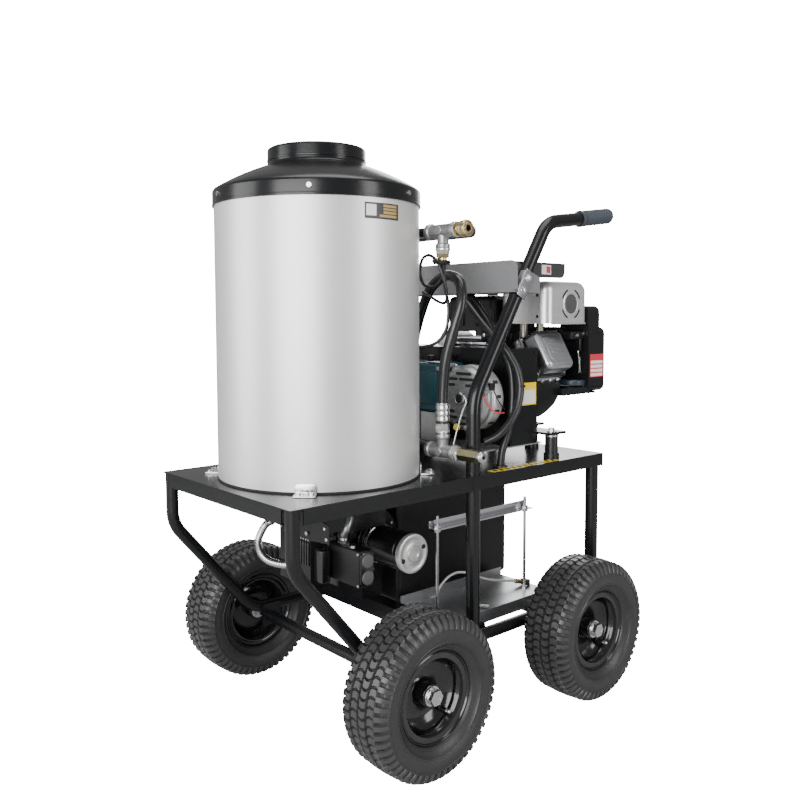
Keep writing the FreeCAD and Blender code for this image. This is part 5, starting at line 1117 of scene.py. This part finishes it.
def small_cables():
    """The switches' leads, the pull rod, the drain hose, and the battery tray's lip and clamp."""
    down = [(-66, -184, 1024), (-60, -183, 1008), (-54, -183, 970), (-47, -186, 925), (-50, -182, 878),
            (-64, -168, 850), (-78, -140, 838), (-84, -104, 832), (-80, -60, 836), (-64, -20, 842)]
    tube("switch_lead", down, 3.9, "cable_black", segments=14, steps=10)
    loop = [(-68, -178, 1022), (-70, -166, 1034), (-70, -146, 1042), (-66, -122, 1034), (-62, -110, 1004),
            (-60, -122, 978), (-58, -150, 972), (-56, -174, 990), (-58, -184, 1012), (-62, -188, 1022)]
    tube("switch_loop", loop, 3.6, "cable_black", segments=14, steps=10)
    second = [(-76, -184, 1022), (-72, -190, 1000), (-64, -194, 972), (-56, -190, 948), (-50, -176, 936),
              (-44, -150, 940), (-36, -116, 952), (-28, -84, 962)]
    tube("sensor_lead", second, 3.4, "cable_black", segments=12, steps=10)
    tube("pull_rod", [(-38, -196, 612), (-36, -192, 622), (-9, -191, 690), (5, -190, 712), (3, -186, 724),
                      (8, -176, 730)], 2.2, "bright_steel", segments=12)
    drain = [(46, -36, 211), (44, -54, 222), (48, -60, 240), (64, -62, 256), (86, -63, 266), (112, -64, 268),
             (140, -72, 262), (166, -82, 249), (204, -93, 236), (246, -101, 227), (280, -107, 221)]
    tube("drain_hose", drain, 3.1, "clear_hose")
    tube("drain_fitting", [(278, -107, 221), (292, -110, 218), (300, -114, 214)], 6.2, "brass")
    nut("drain_nut", (296, -112, 218), (0.6, -0.15, -0.2), 15, 9, "brass")
    block("drain_plug", (302, -126, 208), (316, -108, 222), "filter_blue", bevel=2)
    block("tray_lip", (-44, -178, 178), (317, -176, 207.6), "tray_steel", bevel=0.6)
    tube("tray_clamp", [(64, -136, 214), (84, -154, 214), (104, -172, 213)], 5.2, "bright_steel")
    nut("tray_clamp_nut", (84, -154, 215), UP, 13, 7)


def loom_details():
    """Cable ties on the looms."""
    tie = [(9.1, -2.4), (10.4, -2.2), (10.4, 2.2), (9.1, 2.4)]
    sloping, upright = (0.1, -0.7, -0.7), (0, 0.05, -1)
    places = (((97, -180, 850), sloping), ((134, -242, 745), upright), ((100, -208, 640), upright))
    for index, (at, way) in enumerate(places):
        lathe(f"cable_tie_{index}", tie, at, way, "plastic_black", segments=32)


small_cables()
loom_details()

# ---- plain stickers and the stripe ----

GUARD_FACE = -200  # where the belt guard's and the shroud's left walls stand in Y
HOOD_FACE = -219.8  # the same for the console hood's end
PRINT = 0.4  # how far one sticker lies above the sticker under it


def flat(name, corners, out, look, thick=0.35):
    """A thin four-cornered sticker, lifted off its surface along a direction."""
    out = Vector(out)
    points = [Vector(corner) + out * lift for lift in (0.02, thick) for corner in corners]
    return piece(name, points, [(0, 1, 2, 3), (4, 5, 6, 7)] + belt(4), look)


def wall_sticker(name, y, left, right, low, high, look, thick=0.35):
    """A rectangular sticker on a wall that faces the machine's left."""
    return flat(name, [(left, y, low), (right, y, low), (right, y, high), (left, y, high)], LEFT, look, thick)


def tank_patch(name, first, last, low, high, lift, look):
    """A sticker that follows the jacket between two angles."""
    points, faces = [], []
    steps = 12
    for radius in (JACKET + lift, JACKET - 0.1):
        for z in (low, high):
            for step in range(steps + 1):
                angle = math.radians(first + (last - first) * step / steps)
                points.append(TANK + Vector((radius * math.cos(angle), radius * math.sin(angle), z)))
    row = steps + 1
    for step in range(steps):
        faces.append((step, step + 1, row + step + 1, row + step))
        faces.append((step, step + 1, 2 * row + step + 1, 2 * row + step))
        faces.append((row + step, row + step + 1, 3 * row + step + 1, 3 * row + step))
    faces += [(0, row, 3 * row, 2 * row), (steps, row + steps, 3 * row + steps, 2 * row + steps)]
    piece(name, points, faces, look)


def stickers():
    """Blank stickers with plain bars, and the striped strip on the deck."""
    tank_patch("tank_sticker", -101.5, -79, 1100, 1132, 0.3, "sticker_dark")
    tank_patch("tank_sticker_disc", -100.6, -94.6, 1106, 1128, 0.45, "sticker_white")
    for index, (low, high) in enumerate(((1104, 1109), (1111, 1116), (1118, 1122), (1124, 1129))):
        tank_patch(f"tank_sticker_bar_{index}", -90 if index else -92.5, -80.5, low, high, 0.45,
                   "sticker_tan")
    wall_sticker("guard_sticker", GUARD_FACE, 182, 240, 692, 746, "sticker_yellow")
    wall_sticker("guard_sticker_white", GUARD_FACE - PRINT, 185, 237, 695, 728, "sticker_white", 0.2)
    wall_sticker("shroud_sticker", GUARD_FACE, 458, 515, 746, 806, "sticker_red")
    for index, (low, high) in enumerate(((748.5, 756), (759, 767), (770, 778), (781, 789))):
        wall_sticker(f"shroud_sticker_bar_{index}", GUARD_FACE - PRINT, 461, 512, low, high, "sticker_white",
                     0.2)
    wall_sticker("console_sticker", HOOD_FACE, 233, 268, 1006, 1028, "sticker_white")
    wall_sticker("console_sticker_red", HOOD_FACE - PRINT, 250, 265, 1009, 1025, "sticker_red", 0.2)
    flat("deck_stripe", [(34, -250, DECK), (270, -250, DECK), (270, -229, DECK), (34, -229, DECK)], UP,
         "sticker_yellow", 0.3)
    for index in range(11):
        x, z = 42 + index * 20.6, DECK + 0.3
        flat(f"stripe_bar_{index}", [(x, -247, z), (x + 12, -247, z), (x + 15, -232, z), (x + 3, -232, z)],
             UP, "sticker_dark", 0.2)


stickers()

look_from()
studio()
